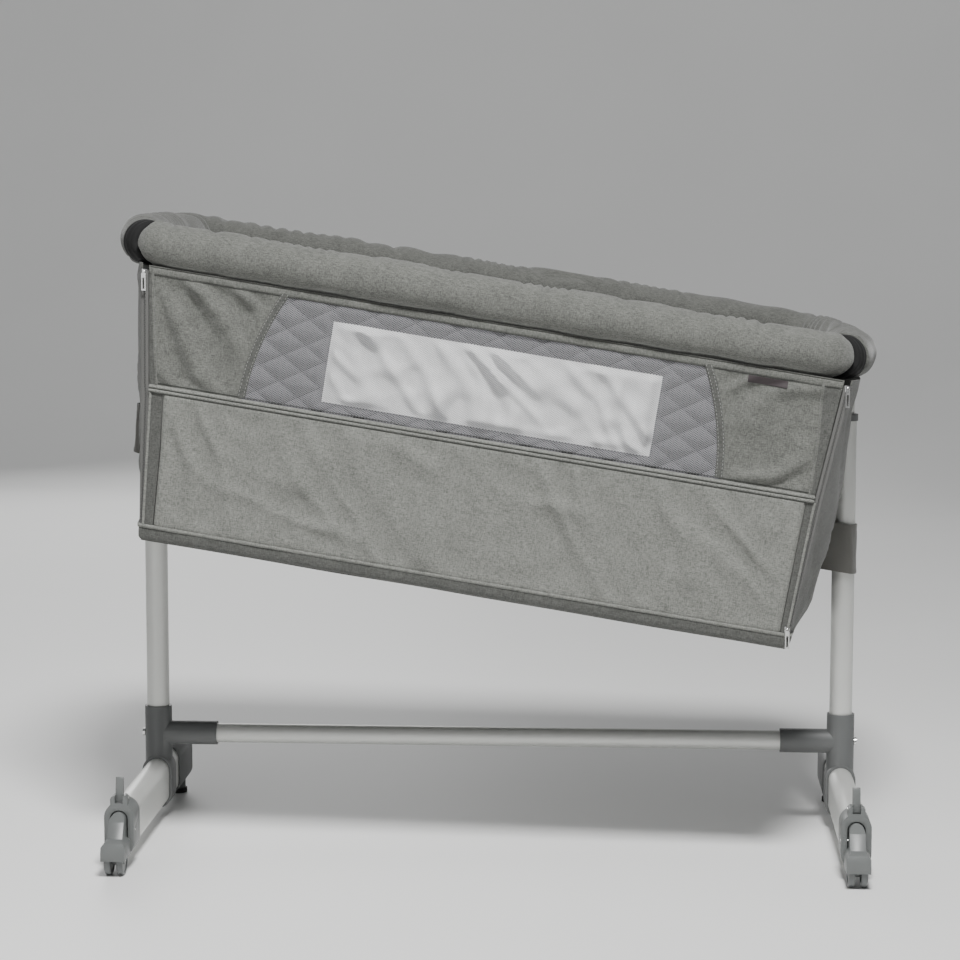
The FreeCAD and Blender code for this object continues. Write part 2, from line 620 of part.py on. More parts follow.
def housingTongue(name, middle):
    """Round-topped tongue, from inside the collar's mouth down onto the hood."""
    back = D["running"] * 2
    root = D["collarNose"] - D["fit"] - D["tongueShort"] + back
    high = D["mouthHeight"] - (D["mouthWidth"] - D["tongueWidth"])
    crown = middle + high / 2 + D["overcut"]
    heel = middle - high / 2 + D["overcut"]
    profile = body(name + "_profile")
    outline = sketch(profile, "YZ_Plane", name + "_outline")
    polygon(outline, (
        (root, heel), (root, crown), (-back, crown),
        (-D["tongueKnee"], middle + high / 2 - D["tongueFall"]),
        (-D["tongueReach"], D["housingLift"] + D["housingHeight"] - D["overcut"]),
        (-D["tongueReach"], heel),
    ))
    feature(profile, "Pad", outline, name + "_pad", D["tongueWidth"], midplane=True)
    rounded = body(name + "_round")
    section = sketch(rounded, "XZ_Plane", name + "_section")
    obround(section, D["tongueWidth"], high)
    feature(rounded, "Pad", section, name + "_section_pad", D["housingLength"] * 2, midplane=True)
    rounded.Placement = Placement(Vector(0, 0, middle.number), Rotation())
    return common(name + "_solid", profile, rounded)


def housingHood(name):
    """Hood over the two wheels, with sloping shoulders, and the web that carries the axle."""
    low = D["housingLift"]
    top = low + D["housingHeight"]
    tip = -D["housingLength"]
    slope = D["hoodSlope"]
    owner = body(name + "_side")
    outline = sketch(owner, "YZ_Plane", name + "_outline")
    polygon(outline, (
        (0, low), (0, top - D["hoodFallRear"]), (-slope, top), (tip + slope, top),
        (tip + slope / 3, top - D["hoodFallFront"] / 4), (tip, top - D["hoodFallFront"]), (tip, low),
    ))
    feature(owner, "Pad", outline, name + "_pad", D["housingWidth"], midplane=True)
    front = body(name + "_front")
    view = sketch(front, "XZ_Plane", name + "_view")
    half = D["housingWidth"] / 2
    flat = half - D["shoulderAcross"]
    shoulder = top - D["shoulderFall"]
    polygon(view, (
        (-half, low), (half, low), (half, shoulder), (flat, top), (-flat, top), (-half, shoulder),
    ))
    feature(front, "Pad", view, name + "_view_pad", D["housingLength"] + D["overcut"])
    web = body(name + "_web")
    webOutline = sketch(web, "YZ_Plane", name + "_web_outline")
    axleY = tip / 2
    axleUp = D["wheelDiameter"] / 2
    reach = D["webHalf"]
    foot = axleUp - D["webRound"]
    polygon(webOutline, (
        (axleY - reach, top - D["hoodFallFront"]), (axleY - reach / 2, foot), (axleY + reach / 2, foot),
        (axleY + reach, top - D["hoodFallFront"]),
    ))
    feature(web, "Pad", webOutline, name + "_web_pad", D["wheelGap"] - D["running"] * 2, midplane=True)
    return common(name + "_shell", owner, front), web


def wheelHousing(side, sign):
    """Tongue and hood, open below for two thin wheels."""
    name = "wheel_housing_" + side
    back = 2 * N["running"]
    room = D["wheelDiameter"] + D["wheelRoom"] * 2
    width = D["wheelThickness"] + D["running"] * 2
    inner = D["wheelGap"] / 2 - D["running"]
    axleY = -N["housingLength"] / 2
    wells = []
    for well, start in (("a", inner.number), ("b", -inner.number - width.number)):
        axle = Vector(start, axleY, wheelRadius)
        wells.append(cylinder(name + "_well_" + well, room, width, Placement(axle, LIE_X)))
        corner = Vector(start, axleY - room.number / 2, -N["overcut"])
        wells.append(block(name + "_open_" + well, width, room, D["wheelDiameter"] / 2 + D["overcut"],
                           Placement(corner, Rotation())))
    reach = D["housingWidth"] + D["overcut"] * 2
    axlePlace = Vector(-reach.number / 2, axleY, wheelRadius)
    wells.append(cylinder(name + "_axle_hole", D["axleDiameter"] + D["fit"] * 2, reach,
                          Placement(axlePlace, LIE_X)))
    pinPlace = Vector(-reach.number / 2, N["collarNose"] / 2 + back, footMiddle)
    wells.append(cylinder(name + "_pin_hole", D["pinDiameter"] + D["fit"] * 2, reach,
                          Placement(pinPlace, LIE_X)))
    tools = fuse(name + "_tools", wells)
    tongue = housingTongue(name + "_tongue", D["footLift"] + D["footHeight"] / 2)
    hood, web = housingHood(name + "_hood")
    whole = fuse(name + "_whole", [tongue, hood, web])
    keep(cut(name, whole, tools), name, stand(sign * legX, -housingRear, 0))


def casterPins():
    """Wheel axles, and the pins of the levers and the tongues."""
    pieces = []
    for side, sign in SIDES:
        pins = (
            ("axle", D["axleDiameter"], D["wheelGap"] + D["wheelThickness"] * 2, -axleForward, wheelRadius),
            ("lever_pin", D["pinDiameter"], D["bossWidth"],
             -collarTip + N["bossLength"] / 2, leverAxleZ),
            ("tongue_pin", D["pinDiameter"], D["footWidth"] + D["capWall"] * 2,
             -collarTip + N["collarNose"] / 2, footMiddle),
        )
        for kind, diameter, width, y, z in pins:
            length = width + D["axleOutside"] * 2
            place = Vector(sign * legX - length.number / 2, y, z)
            pieces.append(cylinder(kind + "_" + side, diameter, length, Placement(place, LIE_X)))
    group = document.addObject("Part::Compound", "caster_pins")
    group.Links = pieces
    keep(group, "caster_pins", stand(0, 0, 0))


def wheel(side, sign, place, offset):
    """Wheel turned in profile: a hub as wide as the tread, with a dished web."""
    name = "wheel_%s_%s" % (side, place)
    owner = body(name)
    profile = sketch(owner, "XZ_Plane", name + "_profile")
    half = D["wheelThickness"] / 2
    bore = D["axleDiameter"] / 2 + D["fit"]
    rim = D["wheelDiameter"] / 2
    hub = bore + D["hubWall"]
    dish = half - D["wheelDish"]
    inside = rim - D["treadDepth"]
    edgeUp = D["treadRound"]
    face = half - edgeUp
    polygon(profile, (
        (-half, bore), (half, bore), (half, hub), (dish, hub + edgeUp), (dish, inside),
        (half, inside + edgeUp), (half, rim - edgeUp), (face, rim), (-face, rim), (-half, rim - edgeUp),
        (-half, inside + edgeUp), (-dish, inside), (-dish, hub + edgeUp), (-half, hub),
    ))
    turned = owner.newObject("PartDesign::Revolution", name + "_turned")
    turned.Profile = profile
    turned.ReferenceAxis = (profile, ["H_Axis"])
    turned.Angle = 360
    owner.Tip = turned
    keep(owner, name, stand(sign * legX + offset, -axleForward, wheelRadius))


def lever(side, sign):
    """Brake lever, standing up out of the collar's boss and leaning back a little."""
    name = "brake_lever_" + side
    owner = body(name)
    outline = sketch(owner, "YZ_Plane", name + "_outline")
    half = D["leverThickness"] / 2
    top = D["leverHeight"]
    foot = D["bossHeight"] / 2
    flare = D["leverFlare"]
    tip = D["leverLean"]
    low = D["fit"] * 5 - foot
    neck = foot + flare * 3
    end = top - flare * 2
    polygon(outline, (
        (-half, low), (half, low), (half, foot), (half + flare, neck), (half + tip - flare, end),
        (half + tip - flare * 3, top), (tip - half + flare, top), (tip - half, end),
        (-half - flare, neck), (-half, foot),
    ))
    feature(owner, "Pad", outline, name + "_pad", D["leverWidth"], midplane=True)
    bore = sketch(owner, "YZ_Plane", name + "_bore")
    circle(bore, 0, 0, D["pinDiameter"] + D["fit"] * 2)
    feature(owner, "Pocket", bore, name + "_pocket", D["leverWidth"] + D["overcut"], midplane=True)
    keep(owner, name, stand(sign * legX, -collarTip + N["bossLength"] / 2, leverAxleZ))


def lockButton(side, sign):
    """Press button through the leg tube's rear, clear of the inner tube behind it."""
    name = "lock_button_" + side
    owner = body(name)
    stem = sketch(owner, "XZ_Plane", name + "_stem")
    circle(stem, 0, 0, D["lockDiameter"])
    inside = D["legDiameter"] / 2 - D["innerTubeDiameter"] / 2 - D["running"] * 0.5 - D["lockTravel"]
    feature(owner, "Pad", stem, name + "_stem_pad", inside + D["lockStandOut"])
    tip = N["legDiameter"] / 2 + N["lockStandOut"]
    keep(owner, name, stand(sign * legX, tip, N["lockHeight"]))


# ------------------------------------------------------------------ telescopic posts
def innerTube(side, sign, railZ):
    name = "inner_tube_" + side
    whole = tube(name + "_tube", D["innerTubeDiameter"], D["tubeWall"], D["innerTubeLength"])
    top = railZ - headDrop(side)
    lower = top - N["innerTubeLength"]
    holes = []
    count = int(round(N["tiltSteps"])) + 4
    first = N["lockHeight"] - lower
    if side == "left":
        first -= 3 * N["stepPitch"]
    for step in range(count):
        height = first + step * N["stepPitch"]
        if N["stepHole"] < height < N["innerTubeLength"] - N["stepHole"]:
            place = Placement(Vector(0, 0, height), LIE_Y)
            holes.append(cylinder("%s_step_%d" % (name, step), D["stepHole"],
                                  D["innerTubeDiameter"], place))
    tools = fuse(name + "_steps", holes)
    keep(cut(name, whole, tools), name, stand(sign * legX, 0, lower))


def headDrop(side):
    """From the rail's centre down to the inner tube's top."""
    if side == "left":
        return N["headBarrel"] / 2 + N["headShoulder"]
    return N["railTube"] / 2 + cradleGap + N["cradleThickness"] + N["neckHeight"]


def headLeft():
    """Closed barrel round the rail tube at the head end, with a stem in the inner tube."""
    owner = body("post_head_left")
    barrel = sketch(owner, "XZ_Plane", "head_left_barrel")
    circle(barrel, 0, 0, D["headBarrel"])
    feature(owner, "Pad", barrel, "head_left_barrel_pad", D["headLength"], midplane=True)
    shoulder = sketch(owner, "XY_Plane", "head_left_shoulder", -(D["headBarrel"] / 2 + D["headShoulder"]))
    circle(shoulder, 0, 0, D["innerTubeDiameter"])
    feature(owner, "Pad", shoulder, "head_left_shoulder_pad", D["headBarrel"] / 2)
    stem = sketch(owner, "XY_Plane", "head_left_stem", -(D["headBarrel"] / 2 + D["headShoulder"]))
    circle(stem, 0, 0, D["innerTubeDiameter"] - D["tubeWall"] * 2 - D["fit"] * 2)
    feature(owner, "Pad", stem, "head_left_stem_pad", D["stemLength"], reverse=True)
    bore = sketch(owner, "XZ_Plane", "head_left_bore")
    circle(bore, 0, 0, D["railTube"] + D["running"] * 2)
    feature(owner, "Pocket", bore, "head_left_bore_pocket", D["headLength"] + D["overcut"], midplane=True)
    keep(owner, "post_head_left", stand(-legX, 0, pivotZ))


def headRight():
    """Flat seat under the rail tube at the foot end, long enough for the tube to travel on it."""
    owner = body("post_head_right")
    seat = sketch(owner, "XZ_Plane", "head_right_seat")
    inward = D["headLength"] / 2 * -1.0
    top = -(D["railTube"] / 2 + D["running"] * 2)
    low = top - D["cradleThickness"]
    polygon(seat, ((inward, low), (D["cradleLength"] + inward, low), (D["cradleLength"] + inward, top),
                   (inward, top)))
    feature(owner, "Pad", seat, "head_right_seat_pad", D["headLength"], midplane=True)
    neck = sketch(owner, "XY_Plane", "head_right_neck", low)
    circle(neck, 0, 0, D["innerTubeDiameter"])
    feature(owner, "Pad", neck, "head_right_neck_pad", D["neckHeight"], reverse=True)
    stem = sketch(owner, "XY_Plane", "head_right_stem", low)
    circle(stem, 0, 0, D["innerTubeDiameter"] - D["tubeWall"] * 2 - D["fit"] * 2)
    feature(owner, "Pad", stem, "head_right_stem_pad", D["stemLength"], reverse=True)
    keep(owner, "post_head_right", stand(legX, 0, footRailZ))


# ------------------------------------------------------------------ rail
def railPoint(sideU, sideV, angle):
    """Point of the rail's centre line in a corner; 0 degrees where the long side ends."""
    turn = math.radians(angle)
    return Vector(
        sideU * (cornerU + N["railCorner"] * math.sin(turn)),
        sideV * (cornerV + N["railCorner"] * math.cos(turn)), 0)


def swept(centre, start, sense, angle, diameter):
    """Round bar along an arc in the rail's plane."""
    arm = start - centre
    along = Vector(-arm.y, arm.x, 0) * sense
    face = Part.Face(Part.Wire(Part.makeCircle(diameter / 2, start, along)))
    return face.revolve(centre, Vector(0, 0, sense), angle)


def bend(sideU, sideV, start, end, diameter):
    """Round bar along a stretch of a rail corner."""
    centre = Vector(sideU * cornerU, sideV * cornerV, 0)
    return swept(centre, railPoint(sideU, sideV, start), -sideU * sideV, end - start, diameter)


def bow(sideU, diameter):
    """Round bar along the bowed end of the rail, between its two corners."""
    centre = Vector(sideU * endCentreU, 0, 0)
    return swept(centre, railPoint(sideU, -1, cornerTurn), sideU, 2 * (90 - cornerTurn), diameter)


def bar(start, end, diameter):
    along = end - start
    return Part.makeCylinder(diameter / 2, along.Length, start, along)


def joined(pieces):
    whole = pieces[0].multiFuse(pieces[1:])
    return whole.removeSplitter()


def frontRun(diameter, angle):
    pieces = [bar(railPoint(-1, -1, 0), railPoint(1, -1, 0), diameter)]
    for sideU in (-1, 1):
        pieces.append(bend(sideU, -1, 0, angle, diameter))
    return joined(pieces)


def rearRun(diameter, angle):
    pieces = [bar(railPoint(-1, 1, 0), railPoint(1, 1, 0), diameter)]
    for sideU in (-1, 1):
        pieces.append(bend(sideU, 1, 0, cornerTurn, diameter))
        pieces.append(bow(sideU, diameter))
        pieces.append(bend(sideU, -1, angle, cornerTurn, diameter))
    return joined(pieces)


def rails():
    bore = N["railTube"] - 2 * N["railTubeWall"]
    pad = N["railPad"]
    hole = N["railTube"] + 2 * N["fit"]
    gap = N["partTurn"]
    split = N["splitAngle"]
    rearSplit = N["rearSplit"]
    jointEnd = split + N["jointAngle"]
    spigot = split + N["jointAngle"] / 2
    frontTube = frontRun(N["railTube"], split - 2 * gap).cut(frontRun(bore, split))
    soft("rail_tube_front", frontTube, cribFrame)
    rearTube = rearRun(N["railTube"], spigot).cut(rearRun(bore, spigot - gap))
    soft("rail_tube_rear", rearTube, cribFrame)
    sleeveFront = frontRun(pad, split - gap).cut(frontRun(hole, split))
    soft("rail_sleeve_front", sleeveFront, cribFrame)
    back = [bar(railPoint(-1, 1, 0), railPoint(1, 1, 0), pad)]
    for sideU in (-1, 1):
        back.append(bend(sideU, 1, 0, rearSplit, pad))
    room = rearRun(hole, split)
    soft("rail_sleeve_back", joined(back).cut(room), cribFrame)
    for side, sign in SIDES:
        pieces = [
            bow(sign, pad),
            bend(sign, 1, rearSplit + gap, cornerTurn, pad),
            bend(sign, -1, jointEnd + gap, cornerTurn, pad),
        ]
        sleeve = joined(pieces).cut(room).cut(headRoom(side, sign))
        soft("rail_sleeve_" + side, sleeve, cribFrame)
        socket = bend(sign, -1, split, jointEnd, N["jointDiameter"])
        socket = socket.cut(bend(sign, -1, spigot - gap, jointEnd + gap, hole))
        soft("corner_joint_" + side, socket, cribFrame)


def headRoom(side, sign):
    """Opening in an end sleeve's underside for the post head."""
    halfV = N["headLength"] / 2 + N["headRoomEnd"]
    if side == "left":
        halfU = N["innerTubeDiameter"] / 2 + N["headRoomSide"]
        around = Part.makeCylinder(N["headBarrel"] / 2 + N["headRoomEnd"], 2 * halfV,
                                   Vector(-N["railHalfLength"], -halfV, 0), Vector(0, 1, 0))
        under = Part.makeBox(2 * halfU, 2 * halfV, N["railPad"],
                             Vector(-N["railHalfLength"] - halfU, -halfV, -N["railPad"]))
        return around.fuse(under)
    roof = -N["railTube"] / 2 + N["headRoof"]
    return Part.makeBox(4 * N["railPad"], 2 * halfV, N["railPad"],
                        Vector(N["railHalfLength"] - 2 * N["railPad"], -halfV, roof - N["railPad"]))


# ------------------------------------------------------------------ body walls
def lean(drop):
    return between(N["hangTop"], N["hangBase"], drop / N["baseDrop"])


def cornerAt(drop):
    """Front corner's distance from the middle, on three straight stretches of the seam."""
    if drop <= N["foldDrop"]:
        return between(N["cornerTop"], N["cornerFold"], drop / N["foldDrop"])
    share = (drop - N["foldDrop"]) / (N["baseDrop"] - N["foldDrop"])
    return between(N["cornerFold"], N["cornerBase"], share)


def edge(drop, sign, inset=0.0):
    """Place along u of a front corner, moved inwards by the inset."""
    return lean(drop) + sign * (cornerAt(drop) - inset)


def channelAt(drop):
    """Floor of the post channel from the middle of the crib, outside face."""
    share = drop / N["baseDrop"]
    depth = between(N["channelDepthTop"], N["channelDepthBase"], share)
    return between(N["endTop"], N["endBase"], share) - depth


def endLine(drop, sign, out, inset):
    """Points of an end wall's outline from front to rear: curve, flat, post channel, flat, curve."""
    corner = edge(drop, sign, inset)
    end = lean(drop) + sign * (between(N["endTop"], N["endBase"], drop / N["baseDrop"]) - inset)
    channel = lean(drop) + sign * (channelAt(drop) - inset)
    front = -out
    curve = -out + N["endRound"]
    lip = -N["channelHalf"] - inset
    middle = Vector(between(corner, end, CURVE_U), between(front, curve, CURVE_V), -drop)
    half = [Vector(corner, front, -drop), middle, Vector(end, curve, -drop),
            Vector(end, lip - N["channelLip"], -drop), Vector(channel, lip, -drop)]
    other = [Vector(p.x, -p.y, p.z) for p in reversed(half)]
    return half + other


def endEdges(points):
    """A curve, five straight stretches and a curve through an end wall's ten points."""
    edges = [Part.Arc(points[0], points[1], points[2]).toShape()]
    for place in range(2, 7):
        edges.append(Part.makeLine(points[place], points[place + 1]))
    edges.append(Part.Arc(points[7], points[8], points[9]).toShape())
    return edges


def planWire(drop, out, inset):
    """Closed outline of the body at a height."""
    right = endLine(drop, 1.0, out, inset)
    left = endLine(drop, -1.0, out, inset)
    edges = endEdges(right)
    edges.append(Part.makeLine(right[-1], left[-1]))
    edges += endEdges(list(reversed(left)))
    edges.append(Part.makeLine(left[0], right[0]))
    return Part.Wire(edges)


def endWire(drop, sign, thickness):
    """Closed outline of an end wall at a height."""
    out = faceOut - N["wallThickness"]
    outer = endLine(drop, sign, out, 0.0)
    inner = endLine(drop, sign, out, thickness)
    edges = endEdges(outer)
    edges.append(Part.makeLine(outer[-1], inner[-1]))
    edges += endEdges(list(reversed(inner)))
    edges.append(Part.makeLine(inner[0], outer[0]))
    return Part.Wire(edges)


def drapeSolid(lower, upper):
    return Part.makeLoft([lower, upper], True, True)


def plate(points, front, thickness):
    """Upright plate from its outline in u and w."""
    corners = [Vector(u, front, w) for u, w in points]
    face = Part.Face(Part.makePolygon(corners + corners[:1]))
    return face.extrude(Vector(0, thickness, 0))


def box(left, right, top, base):
    """Corners of an upright rectangle, in u and w."""
    return [(left, -top), (right, -top), (right, -base), (left, -base)]


def strip(top, base, sign, inset, width):
    """Strip beside a front corner between two drops, drawn in by the inset."""
    drops = [top] + [N["foldDrop"]] * (top < N["foldDrop"] < base) + [base]
    outer = [(edge(d, sign, inset), -d) for d in drops]
    inner = [(edge(d, sign, inset + width), -d) for d in reversed(drops)]
    return plate(outer + inner, -faceOut, N["zipThickness"])


def walls():
    thickness = N["wallThickness"]
    seam = N["seamDrop"] - N["lay"]
    for side, sign in SIDES:
        pieces = []
        stops = (N["wallDrop"], N["foldDrop"], seam)
        for upper, lower in zip(stops, stops[1:]):
            pieces.append(drapeSolid(endWire(lower, sign, thickness), endWire(upper, sign, thickness)))
        soft("end_panel_" + side, joined(pieces), cribFrame)
    top, fold = N["wallDrop"], N["foldDrop"]
    inset = N["lay"]
    rear = [(edge(top, -1, inset), -top), (edge(top, 1, inset), -top), (edge(fold, 1, inset), -fold),
            (edge(seam, 1, inset), -seam), (edge(seam, -1, inset), -seam),
            (edge(fold, -1, inset), -fold)]
    soft("rear_panel", plate(rear, faceOut - thickness + N["lay"], thickness - N["lay"]), cribFrame)
    zipRoom = N["zipWidth"] + 2 * N["lay"]
    gusset = zipRoom + N["gussetWidth"]
    flapTop = fold + N["hemHeight"]
    front = -faceOut - thickness
    flap = [(edge(flapTop, -1, gusset + inset), -flapTop), (edge(flapTop, 1, gusset + inset), -flapTop),
            (edge(seam, 1, gusset + inset), -seam), (edge(seam, -1, gusset + inset), -seam)]
    soft("lower_panel", plate(flap, front, N["flapThickness"]), cribFrame)
    gussets = []
    zips = []
    for side, sign in SIDES:
        gussets.append(strip(flapTop, seam, sign, zipRoom, N["gussetWidth"] - inset))
        zips.append(strip(N["wallDrop"], seam, sign, N["lay"], N["zipWidth"]))
    soft("front_gussets", Part.makeCompound(gussets), cribFrame)
    soft("zip_tapes", Part.makeCompound(zips), cribFrame)
    hemTop = fold + N["lay"]
    hemLow = flapTop - N["lay"]
    hem = [(edge(hemTop, -1, zipRoom), -hemTop), (edge(hemTop, 1, zipRoom), -hemTop),
           (edge(hemLow, 1, zipRoom), -hemLow), (edge(hemLow, -1, zipRoom), -hemLow)]
    soft("fold_hem", plate(hem, front - N["hemStandOut"], N["flapThickness"]), cribFrame)


def baseTray():
    """Band below the bottom seam, closed by the bottom cloth."""
    top, low = N["seamDrop"], N["baseDrop"]
    outer = drapeSolid(planWire(low, faceOut + N["wallThickness"], 0.0),
                       planWire(top, faceOut + N["wallThickness"], 0.0))
    floor = low - N["wallThickness"]
    inner = drapeSolid(planWire(floor, faceOut, N["wallThickness"]),
                       planWire(top - N["overcut"], faceOut, N["wallThickness"]))
    soft("base_band", outer.cut(inner), cribFrame)


def boardAndMattress():
    boardTop = -(N["baseDrop"] - N["wallThickness"] - N["boardThickness"])
    shift = N["hangBase"]
    corner = Vector(shift - N["boardHalfLength"], -N["boardHalfDepth"],
                    boardTop - N["boardThickness"] + N["lay"])
    board = Part.makeBox(2 * N["boardHalfLength"], 2 * N["boardHalfDepth"],
                         N["boardThickness"] - N["lay"], corner)
    soft("base_board", board, cribFrame)
    low = boardTop + N["lay"]
    bulge = N["mattressRound"]
    levels = ((0.0, bulge * 0.7), (0.3, 0.0), (0.7, 0.0), (1.0, bulge))
    wires = []
    for share, inset in levels:
        wires.append(roundedPlan(shift, low + share * N["mattressEdge"], inset))
    crown = roundedPlan(shift, low + N["mattressHeight"], N["mattressCrownInset"])
    wires.append(crown)
    soft("mattress", Part.makeLoft(wires, True, True), cribFrame)


def roundedPlan(shift, w, inset):
    """Rounded rectangle of the mattress at a height, drawn in by the inset."""
    a = N["mattressHalfLength"] - inset
    b = N["mattressHalfDepth"] - inset
    r = N["mattressCorner"] - inset
    edges = []
    corners = ((1, -1), (1, 1), (-1, 1), (-1, -1))
    slant = math.sqrt(0.5)
    for place, (su, sv) in enumerate(corners):
        nu, nv = corners[(place + 1) % 4]
        flat = Vector(shift + su * (a - r), sv * b, w)
        upright = Vector(shift + su * a, sv * (b - r), w)
        middle = Vector(shift + su * (a - r + r * slant), sv * (b - r + r * slant), w)
        if su * sv < 0:
            start, end = flat, upright
            following = Vector(shift + nu * a, nv * (b - r), w)
        else:
            start, end = upright, flat
            following = Vector(shift + nu * (a - r), nv * b, w)
        edges.append(Part.Arc(start, middle, end).toShape())
        edges.append(Part.makeLine(end, following))
    return Part.Wire(edges)


def linings():
    """Quilted liner inside the rear wall, round a smooth white panel."""
    rear = faceOut - N["wallThickness"] - N["linerThickness"]
    shift = lean(N["linerTop"])
    reach = N["linerHalfLength"]
    outline = box(shift - reach, shift + reach, N["linerTop"], N["linerBase"])
    half = N["paneHalfLength"]
    hole = plate(box(-half, half, N["paneTop"], N["paneBase"]), rear - N["overcut"],
                 N["linerThickness"] + 2 * N["overcut"])
    soft("rear_liner", plate(outline, rear, N["linerThickness"]).cut(hole), cribFrame)
    half -= N["lay"]
    pane = box(-half, half, N["paneTop"] + N["lay"], N["paneBase"] - N["lay"])
    soft("rear_pane", plate(pane, rear + N["linerThickness"] / 4, N["linerThickness"] / 2), cribFrame)


# ------------------------------------------------------------------ drop side
def windowEdge(sign, grow):
    """Three points of the mesh window's curved end: top, middle, bottom."""
    middle = (N["windowTop"] + N["windowBase"]) / 2
    rows = ((N["windowHalfTop"], N["windowTop"]), (N["windowHalfMiddle"], middle),
            (N["windowHalfBase"], N["windowBase"]))
    return [(N["windowShift"] + sign * (half + grow), -drop) for half, drop in rows]


def curvedFace(points, front, arcs):
    """Face in u and w; arcs names the places where three points make one curve."""
    edges = []
    place = 0
    vectors = [Vector(u, front, w) for u, w in points]
    count = len(vectors)
    while place < count:
        if place in arcs:
            following = vectors[(place + 2) % count]
            edges.append(Part.Arc(vectors[place], vectors[place + 1], following).toShape())
            place += 2
        else:
            edges.append(Part.makeLine(vectors[place], vectors[(place + 1) % count]))
            place += 1
    return Part.Face(Part.Wire(edges))


def window(grow, rise, front, thickness):
    """Solid of the window's shape, grown sideways and upwards."""
    right = windowEdge(1, grow)
    left = list(reversed(windowEdge(-1, grow)))
    right = [(right[0][0], right[0][1] + rise)] + right[1:2] + [(right[2][0], right[2][1] - rise)]
    left = [(left[0][0], left[0][1] - rise)] + left[1:2] + [(left[2][0], left[2][1] + rise)]
    face = curvedFace(right + left, front, (0, 3))
    return face.extrude(Vector(0, thickness, 0))


def dropSide():
    thickness = N["drapeThickness"]
    front = -faceOut
    lay = N["lay"]
    railUnder = math.sqrt((N["railPad"] / 2) ** 2 - (faceOut - thickness - N["railHalfDepth"]) ** 2)
    top = railUnder + lay
    low = N["foldDrop"] - lay
    zipRoom = N["zipWidth"] + 3 * lay
    whole = plate([(edge(top, -1, zipRoom), -top), (edge(top, 1, zipRoom), -top),
                   (edge(low, 1, zipRoom), -low), (edge(low, -1, zipRoom), -low)], front, thickness)
    through = thickness + 2 * N["overcut"]
    opening = window(lay, lay, front - N["overcut"], through)
    side = -N["bindingWidth"]
    rise = side * BINDING_RISE
    bindingHole = window(side, rise, front - N["overcut"], through)
    bindingOuter = window(0.0, 0.0, front - lay, thickness + 2 * lay)
    soft("side_fabric", whole.cut(opening), cribFrame)
    soft("window_binding", bindingOuter.cut(bindingHole), cribFrame)
    middle = front + thickness / 2 - N["meshThickness"] / 2
    net = window(side - lay / 2, rise - lay / 2, middle, N["meshThickness"])
    soft("mesh_window", net.cut(meshHoles(middle)), cribFrame)
    drop = N["windowTop"] + N["labelDrop"]
    half = N["labelLength"] / 2
    rise = N["labelHeight"] / 2
    label = box(N["labelPlace"] - half, N["labelPlace"] + half, drop - rise, drop + rise)
    depth = N["labelThickness"]
    soft("label_tab", plate(label, front - depth, depth - lay / 2), cribFrame)


def meshHoles(front):
    """Rows of diamond holes over the window, each row half a pitch from the last."""
    pitch = N["meshPitch"]
    half = N["meshHole"] / 2
    room = N["windowBase"] - N["windowTop"] - 2 * half
    rows = int(room / pitch) + 1
    holes = []
    for row in range(rows):
        drop = (N["windowTop"] + N["windowBase"]) / 2 + (row - (rows - 1) / 2) * pitch
        share = (drop - N["windowTop"]) / (N["windowBase"] - N["windowTop"])
        reach = between(N["windowHalfTop"], N["windowHalfBase"], share) - N["bindingWidth"] - pitch
        count = int(2 * reach / pitch)
        for column in range(count):
            u = N["windowShift"] + (column - (count - 1) / 2) * pitch
            corners = [(u + half, -drop), (u, -drop + half), (u - half, -drop), (u, -drop - half)]
            holes.append(plate(corners, front - N["overcut"],
                               N["meshThickness"] + 2 * N["overcut"]))
    print("mesh holes", len(holes))
    return Part.makeCompound(holes)


# ------------------------------------------------------------------ straps and zips
def strap(side, sign):
    """Band round a post: two legs beside the post channel, joined outside the post."""
    name = "strap_" + side
    radius = N["legDiameter"] / 2
    inner = radius + N["strapRoom"]
    outer = inner + N["strapThickness"]
    drop = N["strapDrop"]
    half = N["strapWidth"] / 2
    channels = [sign * lean(d) + channelAt(d) for d in (drop - half, drop + half)]
    root = sign * (max(channels) + N["lay"])
    slant = half * math.tan(restTilt)
    crest = postAt(drop, sign) + sign * (radius + N["collarRim"] + N["running"] + slant)
    if sign < 0:
        crest -= N["strapSlack"]
    turn = crest - sign * N["strapTurn"]
    low = -drop - half

    def leg(reach, top):
        return [Vector(root, -reach, low), Vector(turn, -reach, low), Vector(top, 0, low),
                Vector(turn, reach, low), Vector(root, reach, low)]

    outside = leg(outer, crest + sign * N["strapThickness"])
    inside = leg(inner, crest)
    edges = []
    for points in (outside, inside):
        edges.append(Part.makeLine(points[0], points[1]))
        edges.append(Part.Arc(points[1], points[2], points[3]).toShape())
        edges.append(Part.makeLine(points[3], points[4]))
    edges.append(Part.makeLine(outside[0], inside[0]))
    edges.append(Part.makeLine(outside[4], inside[4]))
    outline = Part.Wire(Part.__sortEdges__(edges))
    band = Part.Face(outline).extrude(Vector(0, 0, N["strapWidth"]))
    soft(name, band, cribFrame)


def postAt(drop, sign):
    """Where a post's axis crosses a drop, along u, at the rest tilt."""
    across = sign * legX - cribX
    return across * math.cos(restTilt) + math.tan(restTilt) * (drop + across * math.sin(restTilt))


def sliderPlace(sign, drop):
    inset = N["zipWidth"] / 2 + N["lay"]
    return edge(drop, sign, inset), -faceOut - N["sliderDepth"] - N["lay"] / 2, -drop


def zipSlider(sign, drop, label):
    """Zip slider, standing proud of its tape."""
    u, v, w = sliderPlace(sign, drop)
    item = block(label, D["sliderWidth"], D["sliderDepth"], D["sliderHeight"])
    keep(item, label, inCrib(u - N["sliderWidth"] / 2, v, w - N["sliderHeight"]))


